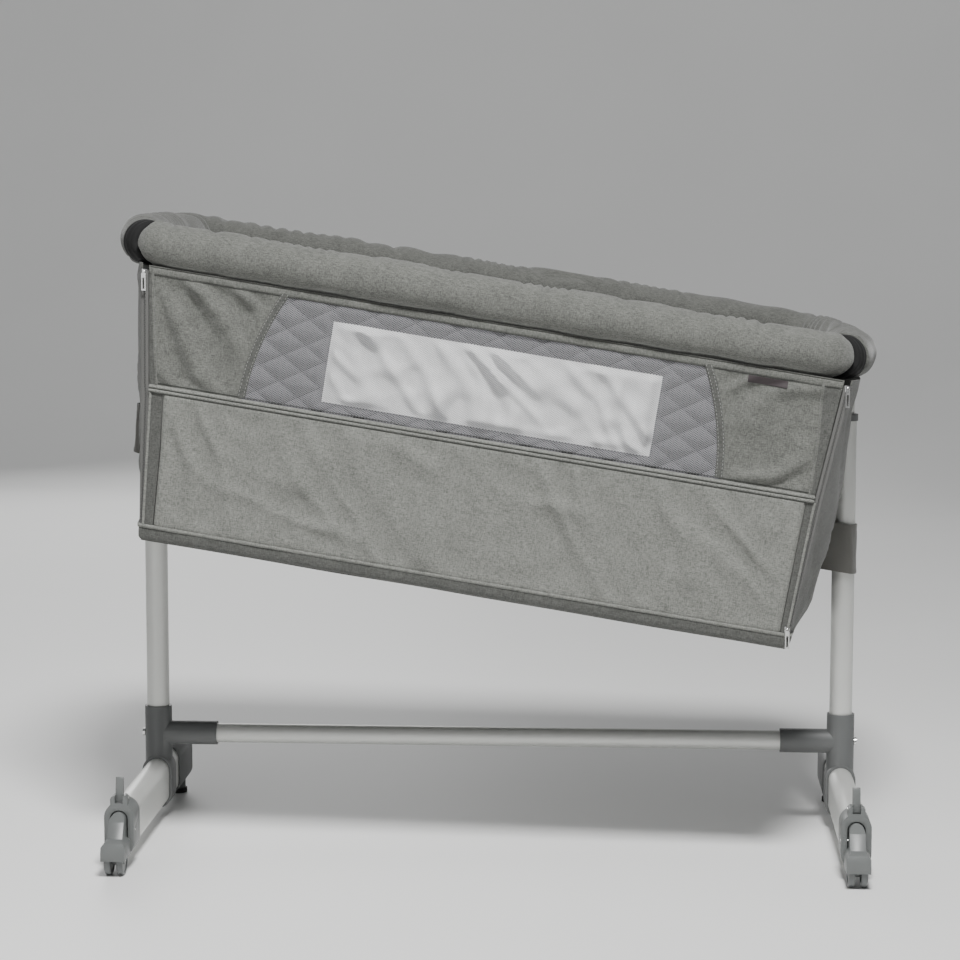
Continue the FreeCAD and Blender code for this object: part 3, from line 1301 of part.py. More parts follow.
def zipPuller(sign, drop, label):
    """Open frame that hangs straight down from the slider's middle."""
    owner = body(label)
    frame = sketch(owner, "XZ_Plane", label + "_frame")
    half = D["pullerWidth"] / 2
    low = -D["pullerLength"]
    cant = D["pullerFrame"]
    polygon(frame, (
        (-half, low), (half, low), (half, -cant), (half - cant, 0), (cant - half, 0), (-half, -cant),
    ))
    feature(owner, "Pad", frame, label + "_pad", D["pullerThickness"])
    hole = sketch(owner, "XZ_Plane", label + "_hole")
    inner = half - cant
    head = -D["pullerHead"]
    end = low + cant * 1.5
    polygon(hole, ((-inner, end), (inner, end), (inner, head), (-inner, head)))
    feature(owner, "Pocket", hole, label + "_pocket", D["pullerThickness"] + D["overcut"], reverse=True)
    u, v, w = sliderPlace(sign, drop)
    spot = inCrib(u, v - N["running"], w - N["sliderHeight"] / 2).Base
    keep(owner, label, Placement(spot, Rotation()))


# ------------------------------------------------------------------ the whole crib
for side, sign in SIDES:
    footTube(side, sign)
    legTube(side, sign)
    tee(side, sign)
    frontCollar(side, sign)
    wheelHousing(side, sign)
    wheelOffset = (N["wheelGap"] + N["wheelThickness"]) / 2
    for place, offset in (("a", -wheelOffset), ("b", wheelOffset)):
        wheel(side, sign, place, offset)
    lever(side, sign)
    lockButton(side, sign)
    strap(side, sign)
    zipSlider(sign, N["wallDrop"], "zip_slider_" + side)
    zipPuller(sign, N["wallDrop"], "zip_puller_" + side)
legCollars()
crossBar()
teeBolts()
rearCaps()
rearPads()
casterPins()
innerTube("left", -1.0, pivotZ)
innerTube("right", 1.0, footRailZ)
headLeft()
headRight()
rails()
walls()
baseTray()
boardAndMattress()
linings()
dropSide()
lowerDrop = N["seamDrop"] - N["sliderHeight"] - N["lowerSliderGap"]
zipSlider(1.0, lowerDrop, "lower_slider")
zipPuller(1.0, lowerDrop, "lower_puller")

document.recompute()

# ------------------------------------------------------------------ checks and files
faults = []
for item in document.Objects:
    if "Invalid" in item.State or "Error" in item.State:
        faults.append("%s is %s" % (item.Label, item.State))
for item in nodes:
    if item.Shape.isNull() or not item.Shape.isValid() or item.Shape.Volume <= 0:
        faults.append("%s has no valid solid" % item.Label)
if faults:
    raise SystemExit("\n".join(faults))

os.makedirs("parts", exist_ok=True)
for item in nodes:
    item.Shape.exportStep(os.path.join("parts", item.Label + ".step"))
foldAxis = inCrib(0, -faceOut - N["hingeSetOut"], -N["foldDrop"]).Base
print("nodes", len(nodes), "fold axis passes", foldAxis)
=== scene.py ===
# A bedside sleeper crib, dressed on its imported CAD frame. Metres, floor at z = 0.
import json
import math

import bmesh
import bpy
import numpy as np
from mathutils import Matrix, Vector, noise

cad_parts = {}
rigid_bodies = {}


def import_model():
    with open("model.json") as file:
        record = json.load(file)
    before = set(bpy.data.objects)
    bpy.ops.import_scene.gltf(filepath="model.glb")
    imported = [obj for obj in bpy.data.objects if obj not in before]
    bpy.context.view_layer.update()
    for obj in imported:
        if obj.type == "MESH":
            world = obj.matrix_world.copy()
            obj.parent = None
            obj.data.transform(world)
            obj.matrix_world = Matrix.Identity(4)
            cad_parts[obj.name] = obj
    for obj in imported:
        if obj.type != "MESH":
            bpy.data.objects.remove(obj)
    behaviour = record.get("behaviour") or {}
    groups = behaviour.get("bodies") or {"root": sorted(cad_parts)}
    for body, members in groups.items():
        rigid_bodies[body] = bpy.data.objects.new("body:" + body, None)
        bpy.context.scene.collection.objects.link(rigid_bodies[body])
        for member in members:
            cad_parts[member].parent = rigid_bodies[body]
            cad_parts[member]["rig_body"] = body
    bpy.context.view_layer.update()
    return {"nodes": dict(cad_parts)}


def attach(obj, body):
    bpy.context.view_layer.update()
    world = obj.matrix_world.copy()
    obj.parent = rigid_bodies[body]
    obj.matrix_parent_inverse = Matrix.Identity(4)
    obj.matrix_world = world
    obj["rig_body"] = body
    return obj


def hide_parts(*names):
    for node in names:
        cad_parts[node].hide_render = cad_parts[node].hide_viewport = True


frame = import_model()
print("frame loaded:", len(frame["nodes"]), "nodes")

# the crib's own frame: u along it, v across it, w up from the rail's centre line
crib = {"origin": (0.002857, 0.0383, 0.665), "tilt": math.radians(9.2175)}
cribPlace = Matrix.Translation(crib["origin"]) @ Matrix.Rotation(crib["tilt"], 4, "Y")


# materials
class Wire:
    # one socket of a finish; sums and products of it add Math nodes
    def __init__(self, finish, socket):
        self.finish, self.socket = finish, socket

    def maths(self, kind, first, second=0.0):
        return self.finish.node("ShaderNodeMath", {"operation": kind}, {0: first, 1: second})

    def __add__(self, other): return self.maths("ADD", self, other)
    def __mul__(self, other): return self.maths("MULTIPLY", self, other)


class Finish:
    # a material while it is put together
    def __init__(self, name):
        self.material = bpy.data.materials.new(name)
        self.material.use_nodes = True
        self.tree = self.material.node_tree
        self.tree.nodes.clear()

    def node(self, kind, settings=None, values=None, output=0):
        made = self.tree.nodes.new(kind)
        for key, value in (settings or {}).items():
            if key == "stops":
                ramp = made.color_ramp
                while len(ramp.elements) < len(value):
                    ramp.elements.new(0.5)
                for stop, (spot, colour) in zip(ramp.elements, value):
                    stop.position = spot
                    stop.color = shaded(colour)
            else:
                setattr(made, key, value)
        for key, value in (values or {}).items():
            if isinstance(value, Wire):
                self.tree.links.new(value.socket, made.inputs[key])
            else:
                made.inputs[key].default_value = value
        return Wire(self, made.outputs[output]) if made.outputs else None

    def onObject(self, scale=(1, 1, 1), turned=True):
        # object coordinates, turned into the crib's own frame where the cloth follows it
        place = self.node("ShaderNodeTexCoord", output="Object")
        if turned:
            place = self.node("ShaderNodeMapping", {}, {"Vector": place, "Rotation": (0, -crib["tilt"], 0)})
        return self.node("ShaderNodeMapping", {}, {"Vector": place, "Scale": scale})

    def speckle(self, place, scale=1.0, detail=2.0, rough=0.5):
        return self.node("ShaderNodeTexNoise", {}, {
            "Vector": place, "Scale": scale, "Detail": detail, "Roughness": rough})

    def ramp(self, factor, stops):
        return self.node("ShaderNodeValToRGB", {"stops": stops}, {"Fac": factor})

    def tint(self, factor, first, second):
        return self.node("ShaderNodeMix", {"data_type": "RGBA"}, {0: factor, 6: first, 7: second}, output=2)

    def bump(self, height, strength, distance):
        return self.node("ShaderNodeBump", {}, {
            "Height": height, "Strength": strength, "Distance": distance})

    def surface(self, **values):
        shader = self.node("ShaderNodeBsdfPrincipled", {}, {
            key.replace("_", " "): value for key, value in values.items()})
        self.node("ShaderNodeOutputMaterial", {}, {"Surface": shader})
        return self.material


def shaded(colour, share=1.0):
    # a colour made lighter or darker, with its alpha
    return (*(min(1, c * share) for c in colour), 1)


clothLook = {"fleck": 0.0009, "slub": 0.0048, "thread": 0.0008, "mottle": 0.024, "rough": 0.92, "relief": 0.35,
             "weft": 0.46, "warp": 0.44, "cloud": 0.10, "darkest": 0.37, "lightest": 0.63}


def melange(name, dark, light):
    # two yarns crossing, each with slubs, over a fine weave that only shows close to
    finish = Finish(name)
    slub, fleck = 1 / clothLook["slub"], 1 / clothLook["fleck"]
    weft = finish.speckle(finish.onObject((slub, slub, fleck)), 1, 2.5, 0.6)
    warp = finish.speckle(finish.onObject((fleck, fleck, slub)), 1, 2.5, 0.6)
    mottle = finish.speckle(finish.onObject(), 1 / clothLook["mottle"], 2, 0.5)
    yarn = weft * clothLook["weft"] + warp * clothLook["warp"] + mottle * clothLook["cloud"]
    middle = tuple((a + b) / 2 for a, b in zip(dark, light))
    colour = finish.ramp(yarn, [(clothLook["darkest"], dark), (0.50, middle), (clothLook["lightest"], light)])
    fine = 2 * math.pi / clothLook["thread"] / 20  # a wave texture has 20 / 2 pi bands to its unit
    across, upright = (
        finish.node("ShaderNodeTexWave", {"wave_type": "BANDS", "bands_direction": way},
                    {"Vector": finish.onObject(spread), "Scale": fine, "Distortion": 1.2, "Detail": 1.0})
        for way, spread in (("Z", (1, 1, 1)), ("DIAGONAL", (1, 1, 0))))
    height = across * 0.4 + upright * 0.4 + yarn * 0.9
    return finish.surface(Base_Color=colour, Roughness=clothLook["rough"], Sheen_Weight=0.25, Sheen_Roughness=0.5,
                          Normal=finish.bump(height, clothLook["relief"], 0.0006))


def moulded(name, colour, rough, grain=0.0009, strength=0.12):
    # plastic with a fine moulded grain, a touch smoother where hands rub it
    finish = Finish(name)
    place = finish.onObject(turned=False)
    grains = finish.speckle(place, 1 / grain, 2, 0.55)
    cloud = finish.speckle(place, 1 / 0.035, 3, 0.5)
    shade = finish.tint(cloud, shaded(colour, 0.90), shaded(colour, 1.10))
    return finish.surface(Base_Color=shade, Roughness=cloud * 0.16 + (rough - 0.08),
                          Normal=finish.bump(grains, strength, 0.0003))


def sprayed(name, colour, rough, metal):
    # satin silver paint: fine flake, a little orange peel
    finish = Finish(name)
    place = finish.onObject(turned=False)
    flakes = finish.speckle(place, 1 / 0.0005, 1, 0.5)
    peel = finish.speckle(place, 1 / 0.004, 2, 0.5)
    cloud = finish.speckle(place, 1 / 0.06, 2, 0.5)
    shade = finish.tint(flakes * 0.6 + cloud * 0.4, shaded(colour, 0.88), shaded(colour, 1.08))
    return finish.surface(Base_Color=shade, Metallic=metal, Roughness=cloud * 0.10 + (rough - 0.05),
                          Coat_Weight=0.15, Coat_Roughness=0.25, Normal=finish.bump(peel, 0.06, 0.0004))


def bareSteel(name, colour, rough):
    # plated steel with fine drawing marks along its height
    finish = Finish(name)
    drawn = finish.speckle(finish.onObject((2600, 2600, 300), False), 1, 2, 0.6)
    cloud = finish.speckle(finish.onObject(turned=False), 1 / 0.01, 2, 0.5)
    shade = finish.tint(cloud, shaded(colour, 0.85), shaded(colour))
    return finish.surface(Base_Color=shade, Metallic=1.0, Roughness=drawn * 0.16 + rough,
                          Normal=finish.bump(drawn, 0.08, 0.0002))


def softCloth(name, colour, pitch=0.0011, strength=0.25, rough=0.85, sheen=0.2):
    # a plain fine cloth: close threads, slight clouding
    finish = Finish(name)
    threads = finish.speckle(finish.onObject((1 / pitch, 1 / pitch, 1 / pitch)), 1, 1.5, 0.5)
    cloud = finish.speckle(finish.onObject(), 1 / 0.03, 3, 0.55)
    shade = finish.tint(threads * 0.5 + cloud * 0.5, shaded(colour, 0.86), shaded(colour, 1.08))
    return finish.surface(Base_Color=shade, Roughness=rough, Sheen_Weight=sheen,
                          Normal=finish.bump(threads, strength, 0.0005))


def quilted(name, colour, thread, across, rise):
    # fine cloth with darker lines along its diamonds, in the crib's own measure; the lines are sewn thread with
    # painted shade of the seam hollows
    finish = Finish(name)
    home = Matrix.Rotation(-crib["tilt"], 3, "Y") @ Vector(crib["origin"])
    place = finish.node("ShaderNodeMapping", {}, {"Vector": finish.onObject(), "Location": tuple(-home)})
    split = finish.node("ShaderNodeSeparateXYZ", {}, {"Vector": place})
    upright = Wire(finish, split.socket.node.outputs["Z"])
    lines = []
    for lie in (1, -1):
        phase = (split * (1 / across) + upright * (lie / rise)) * math.pi
        wave = phase.maths("ABSOLUTE", phase.maths("SINE", phase))
        lines.append(finish.node("ShaderNodeMapRange", {}, {"Value": wave, "From Min": 0.01, "From Max": 0.12}))
    cloud = finish.speckle(place, 1 / 0.02, 3, 0.5)
    threads = finish.speckle(place, 1 / 0.0010, 1.5, 0.5)
    plain = finish.tint(cloud * 0.5 + threads * 0.5, shaded(colour, 0.85), shaded(colour, 1.12))
    # the diamond lines take the thread colour: sewn thread with painted shade of the seam hollows
    shade = finish.tint(lines[0] * lines[1], shaded(thread), plain)
    return finish.surface(Base_Color=shade, Roughness=0.85, Sheen_Weight=0.2,
                          Normal=finish.bump(threads, 0.25, 0.0005))


def pressedBoard(name):
    # brown fibreboard, its fibres lying flat
    finish = Finish(name)
    fibre = finish.speckle(finish.onObject((160, 160, 900)), 1, 4, 0.65)
    colour = finish.ramp(fibre, [(0.3, (0.16, 0.10, 0.055)), (0.7, (0.34, 0.24, 0.145))])
    return finish.surface(Base_Color=colour, Roughness=0.8, Normal=finish.bump(fibre, 0.3, 0.0006))


def plainFloor(name):
    # pale matt paint, barely clouded
    finish = Finish(name)
    cloud = finish.speckle(finish.onObject(turned=False), 1.5, 2, 0.5)
    shade = finish.tint(cloud, shaded((0.80, 0.80, 0.79)), shaded((0.86, 0.86, 0.85)))
    return finish.surface(Base_Color=shade, Roughness=cloud * 0.1 + 0.5)


greyMelange = melange("greyMelange", (0.092, 0.095, 0.085), (0.236, 0.240, 0.219))
# the same cloth made darker for the rail cover, upper front, rail hem and upper piping: painted shade
upperShadeMelange = melange("upperShadeMelange", (0.054, 0.056, 0.050), (0.164, 0.167, 0.151))
# the same cloth darker again for the end walls and the rear rail cover: painted shade
endRearShadeMelange = melange("endRearShadeMelange", (0.042, 0.043, 0.039), (0.118, 0.120, 0.109))
# the same cloth at its darkest for the window edging, corner flaps, gussets, base band and underside: painted shade
deepShadeMelange = melange("deepShadeMelange", (0.034, 0.035, 0.031), (0.102, 0.104, 0.096))
strapWeb = softCloth("strapWebbing", (0.100, 0.098, 0.089), 0.0015, 0.5)
blackTrim = softCloth("blackTrim", (0.0035, 0.0035, 0.0035), 0.0012, 0.3, rough=0.9, sheen=0.0)
netThread = softCloth("netThread", (0.32, 0.32, 0.33), 0.0008, 0.1, rough=0.7)
# dark cords along the hem seams: painted shade of their grooves
seamShade = softCloth("seamShade", (0.030, 0.031, 0.028), 0.0008, 0.3, sheen=0.05)
quiltSize = {"across": 0.056, "rise": 0.035}
# its diamond lines are darker: sewn thread with painted shade of the seam hollows
quiltCloth = quilted("quiltCloth", (0.068, 0.066, 0.073), (0.020, 0.019, 0.023), **quiltSize)
whiteCloth = softCloth("whiteCloth", (0.86, 0.86, 0.86), 0.0010, 0.15)
paleCotton = softCloth("paleCotton", (0.50, 0.50, 0.50), 0.0010, 0.25)
sewingThread = softCloth("sewingThread", (0.27, 0.275, 0.26), 0.0004, 0.3)
zipTape = softCloth("zipTape", (0.10, 0.10, 0.095), 0.0009, 0.4)
labelWeave = softCloth("labelWeave", (0.020, 0.012, 0.014), 0.0007, 0.4, rough=0.7)
silverPaint = sprayed("silverPaint", (0.62, 0.625, 0.60), 0.42, 0.35)
railPaint = sprayed("railPaint", (0.35, 0.35, 0.34), 0.45, 0.4)
greyPlastic = moulded("greyPlastic", (0.110, 0.114, 0.113), 0.46)
casterPlastic = moulded("casterPlastic", (0.128, 0.135, 0.132), 0.40)
wheelPlastic = moulded("wheelPlastic", (0.13, 0.137, 0.136), 0.38, grain=0.002, strength=0.05)
brightSteel = bareSteel("brightSteel", (0.72, 0.72, 0.71), 0.16)
blackRubber = moulded("blackRubber", (0.012, 0.012, 0.012), 0.75, 0.0012, 0.3)
zipNylon = moulded("zipNylon", (0.035, 0.036, 0.035), 0.4)
rawBoard = pressedBoard("rawBoard")
floorPaint = plainFloor("palePaint")


def pairs(*kinds):
    # the names of parts that come left and right
    return [kind + side for kind in kinds for side in ("_left", "_right")]


nodeFinishes = {
    silverPaint: pairs("foot_tube", "leg_tube", "inner_tube") + ["cross_bar"],
    greyPlastic: pairs("tee", "post_head") + ["rear_caps", "leg_collars"],
    casterPlastic: pairs("front_collar", "wheel_housing", "brake_lever"),
    wheelPlastic: [wheel + end for wheel in pairs("wheel") for end in ("_a", "_b")],
    brightSteel: pairs("lock_button", "zip_puller", "zip_slider") + [
        "tee_bolts", "caster_pins", "lower_puller", "lower_slider"],
    blackRubber: ["rear_pads"],
    railPaint: ["rail_tube_front", "rail_tube_rear"],
    rawBoard: ["base_board"],
}
for finish, names in nodeFinishes.items():
    for name in names:
        slots = frame["nodes"][name].data.materials
        slots.clear()
        slots.append(finish)
print("finishes mixed:", len(bpy.data.materials))


# working helpers
def deselect():
    if bpy.context.object and bpy.context.object.mode != "OBJECT":
        bpy.ops.object.mode_set(mode="OBJECT")
    bpy.ops.object.select_all(action="DESELECT")


def take(piece):
    deselect()
    piece.select_set(True)
    bpy.context.view_layer.objects.active = piece
    return piece


def modify(piece, kind, **settings):
    # a modifier, set and applied straight away
    take(piece)
    made = piece.modifiers.new(kind.title(), kind)
    for key, value in settings.items():
        setattr(made, key, value)
    bpy.ops.object.modifier_apply(modifier=made.name)
    return piece


def placed(name, data):
    piece = bpy.data.objects.new(name, data)
    bpy.context.scene.collection.objects.link(piece)
    return piece


def inEdit(piece, *steps):
    # mesh operators on the whole of a piece, one after another
    take(piece)
    bpy.ops.object.mode_set(mode="EDIT")
    bpy.ops.mesh.select_all(action="SELECT")
    for step, settings in steps:
        getattr(bpy.ops.mesh, step)(**settings)
    bpy.ops.object.mode_set(mode="OBJECT")
    return piece


def welded(piece, threshold=0.00002):
    return inEdit(piece, ("remove_doubles", {"threshold": threshold}), ("normals_make_consistent", {"inside": False}))


def woven(name, columns, rows, place, looped=False):
    # a flat grid, each point moved to where the cloth lies; a looped one is closed round
    deselect()
    bpy.ops.mesh.primitive_grid_add(x_subdivisions=columns, y_subdivisions=rows, size=1)
    piece = bpy.context.object
    piece.name = piece.data.name = name
    for vertex in piece.data.vertices:
        s = round((vertex.co.x + 0.5) * columns) / columns
        t = round((vertex.co.y + 0.5) * rows) / rows
        vertex.co = place(s, t)
    if looped:
        inEdit(piece, ("remove_doubles", {"threshold": 0.00002}), ("select_all", {"action": "DESELECT"}),
               ("select_non_manifold", {}), ("fill_holes", {"sides": 0}), ("select_all", {"action": "SELECT"}),
               ("normals_make_consistent", {"inside": False}))
    return piece


def drop(piece, inside):
    # takes away the faces whose middle is inside
    take(piece)
    bpy.ops.object.mode_set(mode="EDIT")
    bpy.ops.mesh.select_all(action="DESELECT")
    bpy.ops.object.mode_set(mode="OBJECT")
    for face in piece.data.polygons:
        face.select = inside(face.center)
    bpy.ops.object.mode_set(mode="EDIT")
    bpy.ops.mesh.delete(type="FACE")
    bpy.ops.object.mode_set(mode="OBJECT")
    return piece


def settle(piece, body, finish, angle=50):
    # from the crib's frame to the row's, its place kept in its mesh
    take(piece)
    bpy.context.view_layer.update()
    piece.matrix_world = cribPlace @ piece.matrix_world
    bpy.ops.object.transform_apply(location=True, rotation=True, scale=True)
    bpy.ops.object.shade_smooth_by_angle(angle=math.radians(angle))
    piece.data.materials.clear()
    piece.data.materials.append(finish)
    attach(piece, body)
    return piece


def joinAs(name, pieces):
    take(pieces[0])
    for piece in pieces:
        piece.select_set(True)
    bpy.ops.object.join()
    joined = bpy.context.object
    joined.name = joined.data.name = name
    return joined


def repeated(name, pattern, places):
    # one modelled shape, copied to each place, in one mesh
    points = np.array([vertex.co[:] for vertex in pattern.data.vertices])
    faces = [tuple(face.vertices) for face in pattern.data.polygons]
    allPoints, allFaces = [], []
    for place in places:
        turn = np.array(place)
        start = len(points) * len(allPoints)
        allPoints.append(points @ turn[:3, :3].T + turn[:3, 3])
        allFaces += [tuple(start + i for i in face) for face in faces]
    mesh = bpy.data.meshes.new(name)
    mesh.from_pydata(np.concatenate(allPoints).tolist(), [], allFaces)
    return placed(name, mesh)


def along(first, second, share):
    return first + (second - first) * share


def gust(x, y, seed):
    # smooth unevenness, about -1 to 1
    return 2 * noise.noise(Vector((x, y, seed)))


def fold(x, y, seed, sharp=2.0):
    # a ridge line where the noise passes through nought
    return max(0.0, 1 - abs(gust(x, y, seed)) * sharp) ** 2


def ripple(x, y, lie, pitch, seed, warp, sharp=1.7):
    # long creases lying at an angle to the horizontal, uneven in pitch and in strength; 0 to 1
    run = x * math.cos(lie) + y * math.sin(lie)
    across = y * math.cos(lie) - x * math.sin(lie)
    phase = across / pitch + warp * gust(across * 11, run * 6, seed)
    strength = 0.62 + 0.62 * gust(across * 13, run * 8, seed + 4)
    return (0.5 + 0.5 * math.cos(2 * math.pi * phase)) ** sharp * max(0.0, min(1.0, strength))


def ease(value):
    # 0 to 1 with a soft start and end
    value = min(1.0, max(0.0, value))
    return value * value * (3 - 2 * value)


def beside(line, here):
    # the direction square to a line of points in a plane, at one of them
    before, after = line[max(0, here - 1)], line[min(len(line) - 1, here + 1)]
    return Vector((after[1] - before[1], before[0] - after[0])).normalized()


# padded rail
rail = {"halfLength": 0.437, "halfDepth": 0.214, "corner": 0.060, "endRadius": 0.700, "radius": 0.0278,
        "inner": 0.0092, "split": {"left": 46, "right": 55}, "jointEnd": {"left": 74, "right": 79},
        "endRound": 0.007, "step": 0.0040, "rows": 64, "seamAngle": math.radians(-57), "seamDepth": 0.0016,
        "seamWidth": 0.0030, "tail": 0.013, "ripple": 0.0021, "frontGap": 0.0006, "backGap": 0.0004, "capGap": 0.0002,
        "gather": {"lie": math.radians(68), "pitch": 0.027, "warp": 2.4, "sharp": 1.9}}
endAngle = math.asin((rail["halfDepth"] - rail["corner"]) / (rail["endRadius"] - rail["corner"]))
frontReach = (rail["halfLength"] - rail["endRadius"]
              + (rail["endRadius"] - rail["corner"]) * math.cos(endAngle))


def railLine(travel):
    # point and outward direction on the rail's centre line; 0 is the middle of the front
    turns = [(rail["corner"], math.pi / 2 - endAngle), (rail["endRadius"], 2 * endAngle),
             (rail["corner"], math.pi / 2 - endAngle)]
    runs = [(0, 2 * frontReach)] + turns + [(0, 2 * frontReach)] + turns
    loop = sum(size if radius == 0 else radius * size for radius, size in runs)
    rest = (travel + frontReach) % loop
    spot, heading = Vector((-frontReach, -rail["halfDepth"], 0)), 0.0
    for radius, size in runs:
        length = size if radius == 0 else radius * size
        step = min(rest, length)
        if radius == 0:
            spot = spot + Vector((math.cos(heading), math.sin(heading), 0)) * step
        else:
            centre = spot + Vector((-math.sin(heading), math.cos(heading), 0)) * radius
            spot = centre + Matrix.Rotation(step / radius, 3, "Z") @ (spot - centre)
            heading += step / radius
        rest -= step
        if rest <= 1e-9:
            break
    return spot, Vector((math.sin(heading), -math.cos(heading), 0))


def tail(angle):
    # the front cover is cut slanting: its lower edge ends nearer the middle
    return rail["tail"] * max(0.0, -math.sin(angle)) ** 1.5


def railSleeve(name, start, end, seed, ripples, slanted):
    # padded tube of cloth: gathers across it, a long soft unevenness, a sewn seam below
    columns = round((end - start) / rail["step"])

    def place(s, t):
        angle = t * 2 * math.pi
        cut = tail(angle) if slanted else 0.0
        travel = along(start + cut, end - cut, s)
        spot, outward = railLine(travel)
        toEnd = min(1.0, min(s, 1 - s) * (end - start) / rail["endRound"])
        rise = math.sqrt(max(0.0, 1 - (1 - toEnd) ** 2))
        across, up = math.cos(angle), math.sin(angle)
        puffed = rail["radius"] - rail["inner"]
        gather = ripple(travel, 0.03 * across, seed=seed, **rail["gather"]) * (0.6 + 0.4 * up)
        wave = gust(travel * 21, across * 0.6 + 0.9 * up, seed + 5) * 0.7
        long = gust(travel * 6, up * 0.5, seed + 9)
        reach = puffed + ripples * (wave * 0.8 + long * 0.6 - gather * 1.5)
        seam = (angle - 2 * math.pi - rail["seamAngle"]) * rail["radius"] / rail["seamWidth"]
        reach -= rail["seamDepth"] * math.exp(-seam * seam)
        reach = rail["inner"] + max(0.0, reach) * rise
        return spot + outward * (across * reach) + Vector((0, 0, up * reach))

    return woven(name, columns, rail["rows"], place, looped=True)


splitTravel, jointTravel = (
    {side: frontReach + rail["corner"] * math.radians(angle) for side, angle in rail[end].items()}
    for end in ("split", "jointEnd"))
loopTravel = 4 * frontReach + 4 * rail["corner"] * (math.pi / 2 - endAngle) + 4 * rail["endRadius"] * endAngle

frontSleeve = railSleeve("rail_cover_front", -splitTravel["left"] + rail["frontGap"],
                         splitTravel["right"] - rail["frontGap"], 1.3, rail["ripple"], True)
settle(frontSleeve, "drop_side", upperShadeMelange)
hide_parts("rail_sleeve_front")

backSleeve = railSleeve("rail_cover_back", jointTravel["right"] + rail["backGap"],
                        loopTravel - jointTravel["left"] - rail["backGap"], 7.7, rail["ripple"] * 1.1, False)
headRoom = {"left": ((-0.437, 0, -0.025), (0.044, 0.033, 0.078)),
            "right": ((0.432, 0, -0.034), (0.112, 0.033, 0.060))}
for side, (middle, size) in headRoom.items():
    # the opening that the post head comes up through
    deselect()
    bpy.ops.mesh.primitive_cube_add(size=1, location=middle)
    opening = bpy.context.object
    opening.scale = size
    bpy.ops.object.transform_apply(location=True, rotation=True, scale=True)
    modify(backSleeve, "BOOLEAN", object=opening, operation="DIFFERENCE", solver="EXACT")
    bpy.data.objects.remove(opening)
settle(backSleeve, "crib", endRearShadeMelange)
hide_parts("rail_sleeve_back", "rail_sleeve_left", "rail_sleeve_right")

cornerCap = {"radius": 0.0262, "inner": 0.0097, "columns": 14, "rows": 40, "rib": 0.0007, "ribs": 3}


def cornerCover(name, start, end):
    # black collar between the front rail and the rest, ribbed where it flexes
    def place(s, t):
        angle = t * 2 * math.pi
        spot, outward = railLine(along(start - math.copysign(tail(angle), start), end, s))
        rise = math.sqrt(max(0.0, 1 - (2 * abs(s - 0.5)) ** 8))
        reach = cornerCap["inner"] + (cornerCap["radius"] - cornerCap["inner"]) * rise
        reach -= cornerCap["rib"] * (0.5 + 0.5 * math.cos(s * 2 * math.pi * cornerCap["ribs"])) * rise
        return spot + outward * (math.cos(angle) * reach) + Vector((0, 0, math.sin(angle) * reach))
    return woven(name, cornerCap["columns"] * 2, cornerCap["rows"], place, looped=True)


for side, sign in (("left", -1), ("right", 1)):
    cover = cornerCover("corner_cover_" + side, sign * (splitTravel[side] + rail["capGap"]),
                        sign * (jointTravel[side] - rail["capGap"]))
    settle(cover, "crib", blackTrim)
    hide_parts("corner_joint_" + side)
print("rail covered")

# the body's outline
shape = {"foldDrop": 0.160, "seamDrop": 0.3255, "baseDrop": 0.343, "wallDrop": 0.0286,
         "cornerTop": 0.419, "cornerFold": 0.401, "cornerBase": 0.383, "endTop": 0.434, "endBase": 0.390,
         "channelTop": 0.394, "channelBase": 0.378, "channelHalf": 0.0216, "endRound": 0.110,
         "hangTop": 0.009, "hangBase": 0.022, "faceOut": 0.229, "wall": 0.003, "seamGap": 0.0004, "hem": 0.007}


def lean(down):
    return along(shape["hangTop"], shape["hangBase"], down / shape["baseDrop"])


def cornerAt(down):
    if down <= shape["foldDrop"]:
        return along(shape["cornerTop"], shape["cornerFold"], down / shape["foldDrop"])
    share = (down - shape["foldDrop"]) / (shape["baseDrop"] - shape["foldDrop"])
    return along(shape["cornerFold"], shape["cornerBase"], share)


def edgeAt(down, sign, inset=0.0):
    return lean(down) + sign * (cornerAt(down) - inset)


def arcPoints(first, middle, last, count):
    # points on the circle through three points in plan
    ax, ay, bx, by, cx, cy = *first, *middle, *last
    d = 2 * (ax * (by - cy) + bx * (cy - ay) + cx * (ay - by))
    ux = ((ax**2 + ay**2) * (by - cy) + (bx**2 + by**2) * (cy - ay) + (cx**2 + cy**2) * (ay - by)) / d
    uy = ((ax**2 + ay**2) * (cx - bx) + (bx**2 + by**2) * (ax - cx) + (cx**2 + cy**2) * (bx - ax)) / d
    radius = math.hypot(ax - ux, ay - uy)
    begin = math.atan2(ay - uy, ax - ux)
    sweep = (math.atan2(cy - uy, cx - ux) - begin + math.pi) % (2 * math.pi) - math.pi
    return [(ux + radius * math.cos(begin + sweep * i / count), uy + radius * math.sin(begin + sweep * i / count))
            for i in range(count + 1)]


wallRuns = {"curve": 14, "flat": 5, "lip": 4, "channel": 10, "soften": 2, "lipTurn": 0.004}


